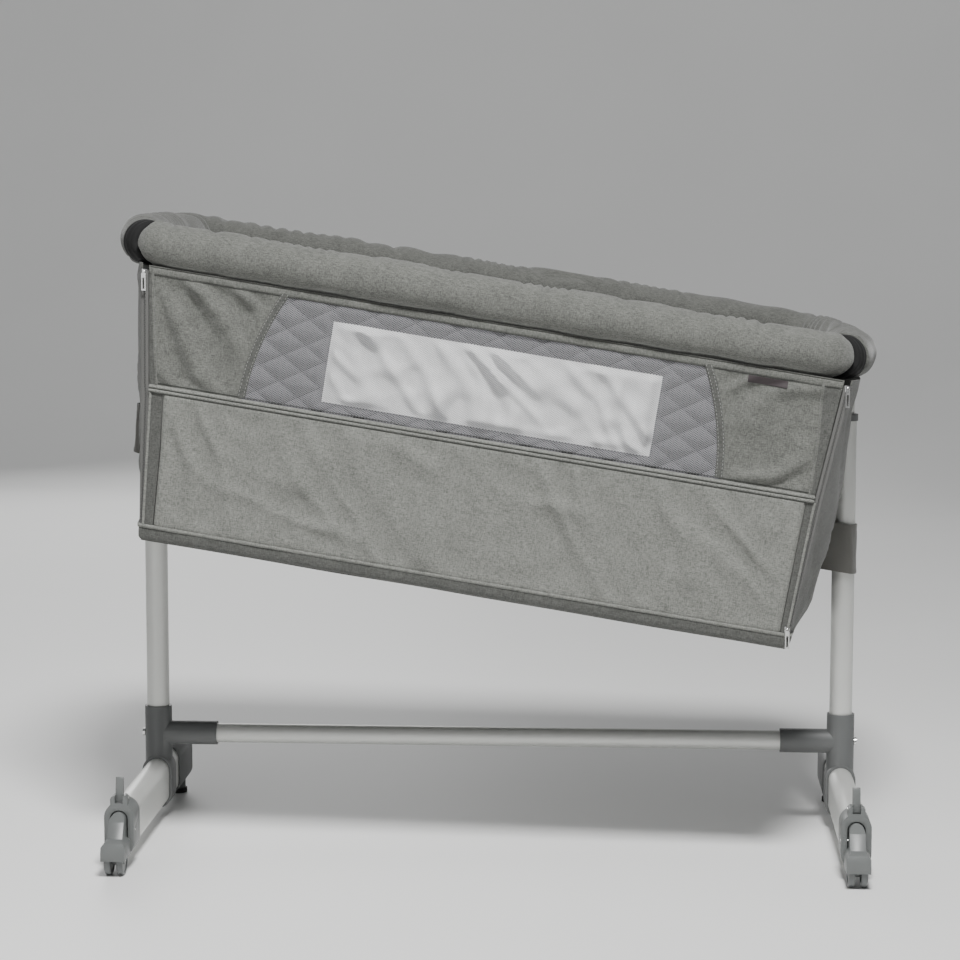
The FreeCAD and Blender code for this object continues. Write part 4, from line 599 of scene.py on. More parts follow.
def endPlan(down, sign, out, inset=0.0):
    # an end wall in plan from front to rear: curve, flat, post channel, flat, curve
    share = down / shape["baseDrop"]
    corner = edgeAt(down, sign, inset)
    end = lean(down) + sign * (along(shape["endTop"], shape["endBase"], share) - inset)
    channel = lean(down) + sign * (along(shape["channelTop"], shape["channelBase"], share) - inset)
    curve, lip = -out + shape["endRound"], -shape["channelHalf"] - inset
    points = arcPoints((corner, -out), (along(corner, end, 0.72), along(-out, curve, 0.42)), (end, curve),
                       wallRuns["curve"])
    for spot, count in (((end, lip - wallRuns["lipTurn"]), wallRuns["flat"]), ((channel, lip), wallRuns["lip"]),
                        ((channel, 0.0), wallRuns["channel"])):
        first = points[-1]
        points += [(along(first[0], spot[0], i / count), along(first[1], spot[1], i / count))
                   for i in range(1, count + 1)]
    points += [(u, -v) for u, v in reversed(points[:-1])]
    for _ in range(wallRuns["soften"]):  # cloth doesn't turn a sharp corner
        points = [points[0]] + [
            ((a[0] + 2 * b[0] + c[0]) / 4, (a[1] + 2 * b[1] + c[1]) / 4)
            for a, b, c in zip(points, points[1:], points[2:])] + [points[-1]]
    return points


# end walls
endLook = {"rows": 74, "crease": 0.0036, "hold": 0.020, "belly": {-1: 0.004, 1: 0.0150}, "tuck": 0.006,
           "thick": 0.0024}


def endPanel(name, sign):
    top, low = shape["wallDrop"] - endLook["tuck"], shape["seamDrop"] - shape["seamGap"]
    out = shape["faceOut"] - shape["wall"] / 2
    count = len(endPlan(top, sign, out)) - 1

    def place(s, t):
        down = along(low, top, t)
        plan = endPlan(down, sign, out, shape["wall"] / 2)
        here = round(s * count)
        u, v = plan[here]
        normal = beside(plan, here) * sign
        held = ease(min(low - down, down - top) / endLook["hold"]) * ease(min(s, 1 - s) / 0.06)
        inChannel = ease((abs(v) - shape["channelHalf"] - 0.012) / 0.02)
        crease = gust(v * 9 + down * 5, down * 3.2 - v * 2, 31 + sign) * 0.8
        crease -= fold(v * 13 - down * 6, down * 4, 40 + sign, 2.6) * 0.9
        crease += fold(v * 7 + down * 9, down * 3, 47 + sign, 2.4) * 0.8
        share = down / shape["baseDrop"]
        belly = endLook["belly"][sign] * ease(share / 0.6) * ease((1 - share) / 0.16)
        belly *= ease((v + out) / 0.07) * ease((out - v) / 0.07) * inChannel
        push = endLook["crease"] * crease * held * (0.25 + 0.75 * inChannel) + belly
        return Vector((u + normal.x * push, v + normal.y * push, -down))

    piece = woven(name, count, endLook["rows"], place)
    return modify(piece, "SOLIDIFY", thickness=endLook["thick"], offset=0)


for side, sign in (("left", -1), ("right", 1)):
    panel = endPanel("end_wall_" + side, sign)
    settle(panel, "crib", endRearShadeMelange)
    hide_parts("end_panel_" + side)

# rear wall
rearLook = {"columns": 150, "rows": 60, "crease": 0.00176, "within": 0.0012, "thick": 0.0022, "tuck": 0.004}


def rearPlace(s, t):
    down = along(shape["seamDrop"] - shape["seamGap"], shape["wallDrop"] - rearLook["tuck"], t)
    u = along(edgeAt(down, -1, shape["seamGap"]), edgeAt(down, 1, shape["seamGap"]), s)
    held = ease(min(t, 1 - t) / 0.10) * ease(min(s, 1 - s) / 0.04)
    crease = fold(u * 9 + down * 6, down * 2.5, 71, 2.3) - fold(u * 13 - down * 9, down * 4, 77, 2.6) * 0.7
    crease += gust(u * 6, down * 5, 79) * 0.6
    return Vector((u, shape["faceOut"] - rearLook["within"] + rearLook["crease"] * crease * held, -down))


rearWall = woven("rear_wall", rearLook["columns"], rearLook["rows"], rearPlace)
modify(rearWall, "SOLIDIFY", thickness=rearLook["thick"], offset=0)
settle(rearWall, "crib", greyMelange)
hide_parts("rear_panel")
print("end and rear walls hung")

# front: one shared surface for all that is sewn to it
front = {"v": -0.229, "zipRoom": 0.0102, "top": 0.0235, "cloth": 0.0016, "column": 0.0026, "row": 0.0022,
         "fine": 0.0007, "slow": 0.0010, "deep": {-1: 0.0125, 1: 0.0105}, "creases": {
             -1: {"lie": math.radians(47), "pitch": 0.036, "seed": 11.3, "warp": 0.5},
             1: {"lie": math.radians(-24), "pitch": 0.040, "seed": 19.4, "warp": 0.6}}}
window = {"top": 0.0335, "base": 0.157, "halfTop": 0.253, "halfMiddle": 0.276, "halfBase": 0.285, "shift": 0.013,
          "edging": 0.0095, "edgingCrown": 0.0020, "edgingBack": 0.0012, "aboveTop": 0.003, "belowBase": 0.001,
          "netLap": 0.0015, "cutLap": 0.004}


def windowHalf(down):
    # half length of the window at a drop, on the curve through its three rows
    a, b, c = window["top"], (window["top"] + window["base"]) / 2, window["base"]
    return (window["halfTop"] * (down - b) * (down - c) / ((a - b) * (a - c))
            + window["halfMiddle"] * (down - a) * (down - c) / ((b - a) * (b - c))
            + window["halfBase"] * (down - a) * (down - b) / ((c - a) * (c - b)))


def frontWave(u, down):
    # how far the upper front stands out: creased where it is plain cloth, flat over the window
    clear = abs(u - window["shift"]) - windowHalf(down)
    held = ease((down - front["top"] - 0.008) / 0.014) * ease((shape["foldDrop"] - down) / 0.016)
    held *= ease((cornerAt(down) - abs(u - lean(down)) - 0.012) / 0.022)
    plain = ease(clear / 0.022)
    side = -1 if u < window["shift"] else 1
    crease = front["deep"][side] * (ripple(u, down, **front["creases"][side]) - 0.3)
    fine = front["fine"] * gust(u * 60, down * 60, 8)
    return held * (plain * (crease + fine) + front["slow"] * gust(u * 7, down * 9, 5))


def frontPoint(u, down, out=0.0):
    return Vector((u, front["v"] - frontWave(u, down) - out, -down))


def ribbon(name, line, width, crown, columns=8, lift=0.0, back=0.0006, rolls=1):
    # a band along points (u, drop) on the front, crowned in one roll or in two side by side
    count = len(line) - 1

    def place(s, t):
        here = round(s * count)
        u, down = line[here]
        side = -beside(line, here)
        angle = t * 2 * math.pi
        across = math.cos(angle)
        bulge = abs(math.sin(angle)) ** 0.6
        if rolls == 2:
            bulge *= 0.45 + 0.55 * min(1.0, abs(across) * 3.2) ** 0.7
        thick = crown * bulge if math.sin(angle) > 0 else -back * bulge
        spot = frontPoint(u + side.x * across * width / 2, down + side.y * across * width / 2, lift)
        return spot + Vector((0, -thick, 0))

    return woven(name, count, columns, place, looped=True)


def edgingLine(sign, within, rows=30):
    # one curved end of the window, from the rail's hem to the fold
    top, base = window["top"] - window["aboveTop"], window["base"] + window["belowBase"]
    downs = [along(top, base, i / rows) for i in range(rows + 1)]
    return [(window["shift"] + sign * (windowHalf(down) - within), down) for down in downs]


# upper front cloth, with the window cut out of it
sideDrop = (shape["foldDrop"] + 0.001, front["top"])


def frontPlace(s, t):
    down = along(*sideDrop, t)
    u = along(edgeAt(down, -1, front["zipRoom"]), edgeAt(down, 1, front["zipRoom"]), s)
    return frontPoint(u, down)


sideCloth = woven("side_cloth", round(2 * cornerAt(sideDrop[0]) / front["column"]),
                  round((sideDrop[0] - sideDrop[1]) / front["row"]), frontPlace)
drop(sideCloth, lambda middle: -middle.z > window["top"] - window["cutLap"]
     and windowHalf(-middle.z) - abs(middle.x - window["shift"]) > window["edging"] * 0.5)
modify(sideCloth, "SOLIDIFY", thickness=front["cloth"], offset=0)
settle(sideCloth, "drop_side", upperShadeMelange)
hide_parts("side_fabric")

binding = joinAs("window_edging", [
    ribbon("edging", edgingLine(sign, window["edging"] / 2), window["edging"], window["edgingCrown"], 12,
           back=window["edgingBack"])
    for sign in (-1, 1)])
settle(binding, "drop_side", deepShadeMelange)
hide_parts("window_binding")

# window net
net = {"apart": 0.0036, "slope": 0.65, "thread": 0.00040, "thick": 0.00016, "billow": 0.0012, "parts": 12,
       "tests": 80}


def windowNet():
    # two sets of slanting threads, each a thin four-sided bar laid on the front's surface
    sheet = bmesh.new()
    top, base = window["top"] - window["netLap"], window["base"] + window["netLap"]
    run = (base - top) / net["slope"]
    across = Vector((net["slope"], 1)).normalized() * net["thread"] / 2
    downs = [along(top, base, i / net["tests"]) for i in range(net["tests"] + 1)]
    for lie in (1, -1):
        start = window["shift"] - window["halfBase"] - (run if lie > 0 else 0)
        for number in range(int((2 * window["halfBase"] + run) / net["apart"]) + 1):
            begin = start + number * net["apart"]
            inside = [down for down in downs
                      if windowHalf(down) - abs(begin + lie * (down - top) / net["slope"] - window["shift"])
                      > window["edging"] * 0.45]
            if len(inside) < 3:
                continue
            rings = []
            for part in range(net["parts"] + 1):
                down = along(inside[0], inside[-1], part / net["parts"])
                u = begin + lie * (down - top) / net["slope"]
                spot = frontPoint(u, down) + Vector((0, net["billow"] * gust(u * 8, down * 8, 3), 0))
                side = Vector((across.x, 0, lie * across.y))
                out = Vector((0, net["thick"] / 2, 0))
                rings.append([sheet.verts.new(spot + step) for step in (side, out, -side, -out)])
            for first, second in zip(rings, rings[1:]):
                for k in range(4):
                    sheet.faces.new((first[k], second[k], second[k - 3], first[k - 3]))
            sheet.faces.new(rings[0])
            sheet.faces.new(reversed(rings[-1]))
    bmesh.ops.recalc_face_normals(sheet, faces=sheet.faces)
    mesh = bpy.data.meshes.new("window_net")
    sheet.to_mesh(mesh)
    sheet.free()
    return placed("window_net", mesh)


netPiece = windowNet()
settle(netPiece, "drop_side", netThread)
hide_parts("mesh_window")

# stitches
stitch = {"length": 0.0030, "gap": 0.0014, "thick": 0.00035, "edge": 0.0017, "out": 0.0017, "apart": 0.0050}
deselect()
bpy.ops.mesh.primitive_uv_sphere_add(segments=6, ring_count=4, radius=1)
stitchPattern = bpy.context.object
stitchPattern.scale = (stitch["length"] / 2, stitch["thick"], stitch["thick"])
bpy.ops.object.transform_apply(location=False, rotation=False, scale=True)
stitchPattern.hide_render = True


def stitchPlaces(points, normals):
    # even steps along a line of points in the crib's frame
    places, walked, pitch = [], 0.0, stitch["length"] + stitch["gap"]
    wanted = pitch / 2
    for first, second, normal in zip(points, points[1:], normals):
        length = (second - first).length
        while wanted <= walked + length and length > 0:
            spot = first.lerp(second, (wanted - walked) / length)
            x = (second - first).normalized()
            y = normal.cross(x).normalized()
            turn = Matrix((x, y, x.cross(y))).transposed().to_4x4()
            places.append(Matrix.Translation(spot) @ turn)
            wanted += pitch
        walked += length
    return places


def stitchOnFront(line, out):
    points = [frontPoint(u, down, out) for u, down in line]
    return stitchPlaces(points, [Vector((0, -1, 0))] * len(points))


def straightLine(first, last, step=0.006):
    count = max(1, int(math.dist(first, last) / step))
    return [(along(first[0], last[0], i / count), along(first[1], last[1], i / count)) for i in range(count + 1)]


dropStitches = [place for sign in (-1, 1) for edge in (stitch["edge"], window["edging"] - stitch["edge"])
                for place in stitchOnFront(edgingLine(sign, edge), stitch["out"])]
topHem = {"top": 0.0252, "base": 0.0335, "crown": 0.0019, "end": 0.029, "inset": 0.011, "seam": 0.0004}
railHem = ribbon("rail_hem", straightLine(*((edgeAt(topHem["end"], sign, topHem["inset"]),
                                             (topHem["top"] + topHem["base"]) / 2) for sign in (-1, 1))),
                 topHem["base"] - topHem["top"], topHem["crown"], 12)
settle(railHem, "drop_side", upperShadeMelange)
print("front hung, window netted")

# piping beside the corner zips, and the fold's hem
bead = {"radius": 0.0016, "rows": 10, "sideLift": 0.0012, "gussetLift": 0.0020, "sideGap": 0.0006, "gussetGap": 0.001}
insets = {  # distance from the front corner at some drops, for each side
    "piping": {-1: ((0.030, 0.0144), (0.097, 0.0155), (0.156, 0.0185)),
               1: ((0.030, 0.0330), (0.095, 0.0223), (0.156, 0.0163))},
    "panel": {-1: ((0.167, 0.0260), (0.234, 0.0235), (0.3255, 0.0160)),
              1: ((0.167, 0.0176), (0.236, 0.0150), (0.3255, 0.0112))},
    "tape": {-1: ((0.0286, 0.0090), (0.160, 0.0090), (0.172, 0.0115), (0.3255, 0.0046)),
             1: ((0.0286, 0.0090), (0.160, 0.0086), (0.172, 0.0084), (0.3255, 0.0040))}}


def inset(kind, sign, down):
    # read off the table, straight between its drops
    downs, values = zip(*insets[kind][sign])
    return float(np.interp(down, downs, values))


def piping(name, line, radius=bead["radius"], lift=bead["sideLift"]):
    # a round cord along points (u, drop) on the front
    def place(s, t):
        here = round(s * (len(line) - 1))
        u, down = line[here]
        side = -beside(line, here)
        angle = t * 2 * math.pi
        spot = frontPoint(u + side.x * math.cos(angle) * radius, down + side.y * math.cos(angle) * radius, lift)
        return spot + Vector((0, -math.sin(angle) * radius, 0))
    return woven(name, len(line) - 1, bead["rows"], place, looped=True)


def cornerLine(kind, sign, first, last, step=0.004):
    count = int((last - first) / step)
    downs = [along(first, last, i / count) for i in range(count + 1)]
    return [(edgeAt(down, sign, inset(kind, sign, down)), down) for down in downs]


upperBeads = joinAs("side_piping", [
    piping("bead", cornerLine("piping", sign, shape["wallDrop"], shape["foldDrop"] - bead["sideGap"]))
    for sign in (-1, 1)])
settle(upperBeads, "drop_side", upperShadeMelange)

hem = {"height": 0.0094, "crown": 0.0046, "back": 0.0016, "inset": 0.0100, "cord": 0.00042, "seamInset": 0.0125,
       "below": 0.0006, "lift": 0.0002, "sideLift": 0.0010, "cribLift": 0.0031, "sideSeam": 0.0026, "cribSeam": 0.0002}
hemMiddle = shape["foldDrop"] + shape["hem"] / 2 + hem["below"]
hemLine = straightLine(*((edgeAt(hemMiddle, sign, hem["inset"]), hemMiddle) for sign in (-1, 1)))
foldHem = ribbon("fold_piping", hemLine, hem["height"], hem["crown"], 28, back=hem["back"], lift=hem["lift"], rolls=2)
settle(foldHem, "crib", greyMelange)
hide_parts("fold_hem")


def seamShadeCords(name, lines, lift):
    # dark cords sunk along a seam: painted shade of the seam's groove
    return joinAs(name, [piping("thread", line, hem["cord"], lift) for line in lines])


dropSeamShade = seamShadeCords("side_seam_shade", [
    straightLine(*((edgeAt(down, sign, hem["seamInset"]), down) for sign in (-1, 1)))
    for down in (topHem["top"] - topHem["seam"], topHem["base"] + topHem["seam"],
                 shape["foldDrop"] - hem["sideSeam"])], hem["sideLift"])
settle(dropSeamShade, "drop_side", seamShade)
cribSeamShade = seamShadeCords("fold_seam_shade", [
    [(u, down + offset) for u, down in hemLine]
    for offset in (0.0, hem["height"] / 2 + hem["cribSeam"])], hem["cribLift"])
settle(cribSeamShade, "crib", seamShade)

# lower front: one padded cloth with darker ends
lower = {"front": 0.0034, "crease": 0.0084, "column": 0.0030, "row": 0.0028, "edgeRound": 0.0045, "gap": 0.0006,
         "seamRoom": 0.0008, "thick": 0.0022, "fine": 0.0004,
         "steep": {"lie": math.radians(57), "pitch": 0.058, "seed": 61.2, "warp": 0.8, "sharp": 2.4},
         "slack": {"lie": math.radians(38), "pitch": 0.083, "seed": 67.9, "warp": 0.9, "sharp": 2.8},
         "upright": {"lie": math.radians(84), "pitch": 0.047, "seed": 83.1, "warp": 1.1, "sharp": 2.0}}


def lowerOut(u, down):
    # how far the padded lower front stands out in front of the face
    top, low = shape["foldDrop"] + shape["hem"], shape["seamDrop"]
    side = 1 if u > lean(down) else -1
    clear = cornerAt(down) - inset("panel", side, down) - lower["seamRoom"] - abs(u - lean(down))
    inside = min(down - top, low - down, clear)
    rounding = math.sqrt(max(0.0, 1 - (1 - min(1.0, max(0.0, inside) / lower["edgeRound"])) ** 2))
    held = ease((down - top) / 0.02) * ease((low - down) / 0.02) * ease(clear / 0.03)
    steep = ripple(u, down, **lower["steep"])
    slack = ripple(u, down, **lower["slack"]) * ease((down - top) / 0.05)
    upright = ripple(u, down, **lower["upright"]) * ease((top + 0.07 - down) / 0.06)
    fine = lower["fine"] * gust(u * 42, down * 22, 91)
    return lower["front"] * rounding + held * (
        lower["crease"] * (steep * 0.55 + slack * 0.55 + upright * 0.35 - 0.25) + fine)


def lowerPlace(s, t):
    top, low = shape["foldDrop"] + shape["hem"] + lower["gap"], shape["seamDrop"] - lower["gap"]
    down = along(low, top, t)
    left, right = (edgeAt(down, sign, inset("panel", sign, down) + lower["seamRoom"]) for sign in (-1, 1))
    u = along(left, right, s)
    return Vector((u, front["v"] - lowerOut(u, down), -down))


lowerFront = woven("lower_front", round(2 * shape["cornerFold"] / lower["column"]),
                   round((shape["seamDrop"] - shape["foldDrop"]) / lower["row"]), lowerPlace)
modify(lowerFront, "SOLIDIFY", thickness=lower["thick"], offset=-1)
settle(lowerFront, "crib", greyMelange)
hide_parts("lower_panel")


# strips beside the front corners: first and last drop, table and extra of the two edges' insets, lift, thickness
strip = {"columns": 8, "row": 0.004, "puff": 0.0006}
strips = {
    "gusset": {"drops": (shape["foldDrop"] + shape["hem"], shape["seamDrop"] - 0.0006),
               "edges": (("tape", 0.0002), ("panel", 0.0)), "out": 0.0004, "thick": 0.0016},
    "flap": {"drops": (shape["wallDrop"] + 0.006, shape["foldDrop"] - 0.001),
             "edges": (("", front["zipRoom"] + 0.0003), ("piping", 0.0)), "out": 0.0012, "thick": 0.0010},
    "tape": {"drops": (shape["wallDrop"] + 0.0006, shape["seamDrop"] - 0.0006),
             "edges": (("", 0.0006), ("tape", 0.0)), "out": -0.0004, "thick": 0.0012}}


def cornerStrip(kind, sign):
    look = strips[kind]
    first, last = look["drops"]

    def place(s, t):
        down = along(last, first, t)
        near, far = ((inset(table, sign, down) if table else 0.0) + extra for table, extra in look["edges"])
        u = edgeAt(down, sign, along(near, far, s if sign < 0 else 1 - s))
        puff = math.sqrt(max(0.0, 1 - (2 * s - 1) ** 4)) * strip["puff"]
        wave = frontWave(u, down) if down < shape["foldDrop"] else 0
        return Vector((u, front["v"] - wave - look["out"] - puff, -down))

    piece = woven(kind, strip["columns"], int((last - first) / strip["row"]), place)
    return modify(piece, "SOLIDIFY", thickness=look["thick"], offset=0)


gussets = joinAs("front_gusset_pair", [cornerStrip("gusset", sign) for sign in (-1, 1)])
settle(gussets, "crib", deepShadeMelange)
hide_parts("front_gussets")

# these flaps take the darkest copy of the cloth: painted shade where it turns back round the corner
flaps = joinAs("side_flap_pair", [cornerStrip("flap", sign) for sign in (-1, 1)])
settle(flaps, "drop_side", deepShadeMelange)

lowerBeads = joinAs("gusset_piping", [
    piping("bead", cornerLine("tape", sign, shape["foldDrop"] + shape["hem"] + bead["gussetGap"],
                              shape["seamDrop"] - bead["gussetGap"]), lift=bead["gussetLift"])
    for sign in (-1, 1)])
settle(lowerBeads, "crib", greyMelange)

# corner zips: tape and two rows of teeth
zips = {"tooth": (0.0016, 0.0013, 0.0011), "pitch": 0.0021, "apart": 0.0009, "share": 0.54, "edge": 0.0003,
        "first": 0.009, "ends": 0.012, "out": 0.0008}
tapes = joinAs("zip_tape_pair", [cornerStrip("tape", sign) for sign in (-1, 1)])
settle(tapes, "crib", zipTape)
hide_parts("zip_tapes")
deselect()
bpy.ops.mesh.primitive_cube_add(size=1)
tooth = bpy.context.object
tooth.scale = zips["tooth"]
bpy.ops.object.transform_apply(location=False, rotation=False, scale=True)
modify(tooth, "BEVEL", width=zips["edge"], segments=1)
toothPlaces = []
for sign in (-1, 1):
    for place in range(int((shape["seamDrop"] - shape["wallDrop"] - zips["ends"]) / zips["pitch"])):
        down = shape["wallDrop"] + zips["first"] + place * zips["pitch"]
        side = 1 if place % 2 else -1
        u = edgeAt(down, sign, inset("tape", sign, down) * zips["share"]) + side * zips["apart"] / 2
        toothPlaces.append(Matrix.Translation((u, front["v"] - zips["out"], -down)))
teeth = repeated("zip_teeth", tooth, toothPlaces)
bpy.data.objects.remove(tooth)
settle(teeth, "crib", zipNylon, 30)
print("lower front, gussets and zips sewn")

# base: band, seam cord and the cloth underneath
base = {"rows": 8, "thick": 0.0022, "bulge": 0.0016, "cord": 0.0022, "tuck": 0.0035, "low": 0.001,
        "out": shape["faceOut"] + shape["wall"] - 0.0006, "cordGap": 0.0002}


def planLoop(down, out, within=0.0, count=90):
    # the body's closed outline at a drop
    right = endPlan(down, 1, out, within)
    left = endPlan(down, -1, out, within)
    back = [(along(right[-1][0], left[-1][0], i / count), out) for i in range(1, count)]
    face = [(along(left[0][0], right[0][0], i / count), -out) for i in range(1, count)]
    return right + back + list(reversed(left)) + face


def hoop(name, rows, place):
    # a band that runs right round the body: place(point number, row share) for each point
    count = len(planLoop(shape["seamDrop"], 0.2))
    return welded(woven(name, count, rows, lambda s, t: place(round(s * count) % count, t)))


bandDrop = (shape["baseDrop"] - base["low"], shape["seamDrop"])
bandPlans = [planLoop(along(*bandDrop, i / base["rows"]), base["out"]) for i in range(base["rows"] + 1)]


def bandPlace(number, t):
    u, v = bandPlans[round(t * base["rows"])][number]
    down = along(*bandDrop, t)
    tuck = base["tuck"] * max(0.0, 1 - t * 4) ** 2
    puff = base["bulge"] * math.sin(math.pi * t) * (0.7 + 0.5 * gust(u * 16, v * 16, 23)) - tuck
    away = Vector((u - lean(down), v * 1.5)).normalized()
    return Vector((u + away.x * puff, v + away.y * puff, -down))


band = hoop("base_hem", base["rows"], bandPlace)
modify(band, "SOLIDIFY", thickness=base["thick"], offset=-1)
settle(band, "crib", deepShadeMelange)
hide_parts("base_band")


def loopCord(name, down, out, radius):
    # a round cord along the body's outline
    points = [Vector((u, v, -down)) for u, v in planLoop(down, out)]
    count = len(points)

    def place(number, t):
        before, after = points[number - 1], points[(number + 1) % count]
        ahead = (after - before).normalized()
        side = Vector((ahead.y, -ahead.x, 0))
        angle = t * 2 * math.pi
        return points[number] + side * math.cos(angle) * radius + Vector((0, 0, math.sin(angle) * radius))

    return hoop(name, bead["rows"], place)


seamCord = loopCord("seam_cord", shape["seamDrop"] - base["cordGap"], base["out"] - base["cordGap"], base["cord"])
settle(seamCord, "crib", greyMelange)

underside = {"drop": shape["baseDrop"] - 0.0012, "within": 0.002, "rows": 30, "sag": 0.0006, "thick": 0.0012}
bottomPlan = planLoop(underside["drop"], base["out"] - 2 * underside["within"], underside["within"])


def bottomPlace(s, t):
    # the cloth below the board, drawn from the outline to the middle
    u, v = bottomPlan[round(s * len(bottomPlan)) % len(bottomPlan)]
    sag = underside["sag"] * (1 - t) * gust(u * 7 * (1 - t), v * 7 * (1 - t), 29)
    return Vector((along(u, lean(shape["baseDrop"]), t), along(v, 0.0, t), -underside["drop"] + sag))


bottom = welded(woven("bottom_cloth", len(bottomPlan), underside["rows"], bottomPlace), 0.00005)
modify(bottom, "SOLIDIFY", thickness=underside["thick"], offset=0)
settle(bottom, "crib", deepShadeMelange)
print("base closed")

# inside: quilted liner, white panel, mattress
quilt = {"half": 0.361, "top": 0.043, "base": 0.261, "v": 0.2262, "thin": 0.0012, "puff": 0.0125, **quiltSize,
         "column": 0.0024, "row": 0.0022}
pane = {"half": 0.2196, "top": 0.0854, "base": 0.1926, "v": 0.2232, "thick": 0.0014, "crease": 0.0120, "lap": 0.004,
        "long": {"lie": math.radians(40), "pitch": 0.036, "seed": 51.3, "warp": 0.9, "sharp": 2.2},
        "steep": {"lie": math.radians(60), "pitch": 0.052, "seed": 57.1, "warp": 1.0, "sharp": 2.0}}


def quiltPlace(s, t):
    down = along(quilt["base"], quilt["top"], t)
    u = along(-quilt["half"], quilt["half"], s) + shape["hangTop"]
    a = u / quilt["across"] + down / quilt["rise"]
    b = u / quilt["across"] - down / quilt["rise"]
    pillow = (abs(math.sin(math.pi * a)) * abs(math.sin(math.pi * b))) ** 0.62
    clear = max(abs(u) - pane["half"], pane["top"] - down, down - pane["base"])
    held = ease(min(t, 1 - t) / 0.04) * ease(min(s, 1 - s) / 0.012) * ease((clear + 0.001) / 0.013)
    puff = quilt["puff"] * (pillow * (0.9 + 0.15 * gust(u * 30, down * 30, 37))) * held
    return Vector((u, quilt["v"] - quilt["thin"] - puff, -down))


liner = woven("quilted_liner", round(2 * quilt["half"] / quilt["column"]),
              round((quilt["base"] - quilt["top"]) / quilt["row"]), quiltPlace)
drop(liner, lambda middle: abs(middle.x) < pane["half"] - pane["lap"]
     and pane["top"] + pane["lap"] < -middle.z < pane["base"] - pane["lap"])
modify(liner, "SOLIDIFY", thickness=quilt["thin"], offset=-1)
settle(liner, "crib", quiltCloth, 80)
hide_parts("rear_liner")


def panePlace(s, t):
    down = along(pane["base"], pane["top"], t)
    u = along(-pane["half"], pane["half"], s)
    held = ease(min(t, 1 - t) / 0.09) * ease(min(s, 1 - s) / 0.025)
    crease = ripple(u, down, **pane["long"]) + 0.7 * ripple(u, down, **pane["steep"])
    crease += 0.25 * gust(u * 40, down * 40, 59)
    return Vector((u, pane["v"] - pane["crease"] * max(0.0, crease) * held, -down))


whitePane = woven("white_pane", 110, 44, panePlace)
modify(whitePane, "SOLIDIFY", thickness=pane["thick"], offset=0)
settle(whitePane, "crib", whiteCloth)
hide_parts("rear_pane")

mattress = {"half": (0.361, 0.206), "height": 0.050, "low": -0.3334, "corner": 0.058, "voxel": 0.0062,
            "pressure": 3.2, "cap": 0.010, "frames": 18, "within": 0.004, "edge": 0.009, "crown": 0.004,
            "hollow": 0.0028, "diamond": 0.062, "middle": lean(shape["baseDrop"]), "flatter": 0.012, "lower": 0.002,
            "room": 0.002, "above": 0.001}


def mattressBody():
    # a box with its corners drawn in, blown up a little, then crowned and quilted
    halfLength, halfWidth = mattress["half"]
    corner, middle, within = mattress["corner"], mattress["middle"], mattress["within"]
    deselect()
    bpy.ops.mesh.primitive_cube_add(size=1, location=(
        middle, 0, mattress["low"] + mattress["height"] * 0.5 - mattress["lower"]))
    piece = bpy.context.object
    piece.name = "mattress_cover"
    piece.scale = (2 * halfLength - 2 * within, 2 * halfWidth - 2 * within, mattress["height"] - mattress["flatter"])
    bpy.ops.object.transform_apply(location=True, rotation=False, scale=True)
    modify(piece, "BEVEL", width=mattress["edge"], segments=3, limit_method="ANGLE")
    modify(piece, "REMESH", mode="VOXEL", voxel_size=mattress["voxel"])
    for vertex in piece.data.vertices:
        u, v = vertex.co.x - middle, vertex.co.y
        a, b = abs(u) - (halfLength - within - corner), abs(v) - (halfWidth - within - corner)
        if a > 0 and b > 0:
            inward = max(a, b) / math.hypot(a, b)
            vertex.co.x = middle + math.copysign(halfLength - within - corner + a * inward, u)
            vertex.co.y = math.copysign(halfWidth - within - corner + b * inward, v)
    rest = [vertex.co.copy() for vertex in piece.data.vertices]
    cloth = piece.modifiers.new("Cloth", "CLOTH")
    cloth.settings.use_pressure = True
    cloth.settings.uniform_pressure_force = mattress["pressure"]
    cloth.settings.effector_weights.gravity = 0
    cloth.settings.mass = 0.4
    cloth.settings.tension_stiffness = 18
    cloth.settings.bending_stiffness = 0.6
    for number in range(1, mattress["frames"] + 1):
        bpy.context.scene.frame_set(number)
    take(piece)
    bpy.ops.object.modifier_apply(modifier="Cloth")
    bpy.context.scene.frame_set(1)
    for vertex, before in zip(piece.data.vertices, rest):
        move = vertex.co - before
        if move.length > mattress["cap"]:
            move *= mattress["cap"] / move.length
        spot = before + move
        u, v = spot.x - middle, spot.y
        if spot.z > mattress["low"] + mattress["height"] * 0.55:
            fromEnd, fromSide = halfLength - abs(u), halfWidth - abs(v)
            edge = min(fromEnd, fromSide)
            if max(fromEnd, fromSide) < corner:
                edge = corner - math.hypot(corner - fromEnd, corner - fromSide)
            spot.z += mattress["crown"] * ease(edge / 0.10)
            a, b = u / mattress["diamond"] + v / mattress["diamond"], u / mattress["diamond"] - v / mattress["diamond"]
            pillow = (abs(math.sin(math.pi * a)) * abs(math.sin(math.pi * b))) ** 0.4
            spot.z -= mattress["hollow"] * (1 - pillow) * ease(edge / 0.03)
        spot.z = max(spot.z, mattress["low"] + mattress["above"])
        spot.x = middle + math.copysign(min(abs(u), halfLength + mattress["room"]), u)
        spot.y = math.copysign(min(abs(v), halfWidth + mattress["room"]), v)
        vertex.co = spot
    modify(piece, "SUBSURF", levels=1, render_levels=1)
    return piece


mattressPiece = mattressBody()
settle(mattressPiece, "crib", paleCotton, 80)
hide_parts("mattress")
print("inside made up")

# straps round the legs
strap = {"width": 0.060, "thick": 0.0018, "drop": 0.240, "room": 0.0036, "leg": 0.014, "slack": 0.008,
         "spacing": 0.857, "running": 0.0003, "turn": 0.008, "rows": 16, "slant": {-1: 0.45, 1: 1},
         "wave": 0.0007, "hem": 0.0006, "rootGap": 0.0006}


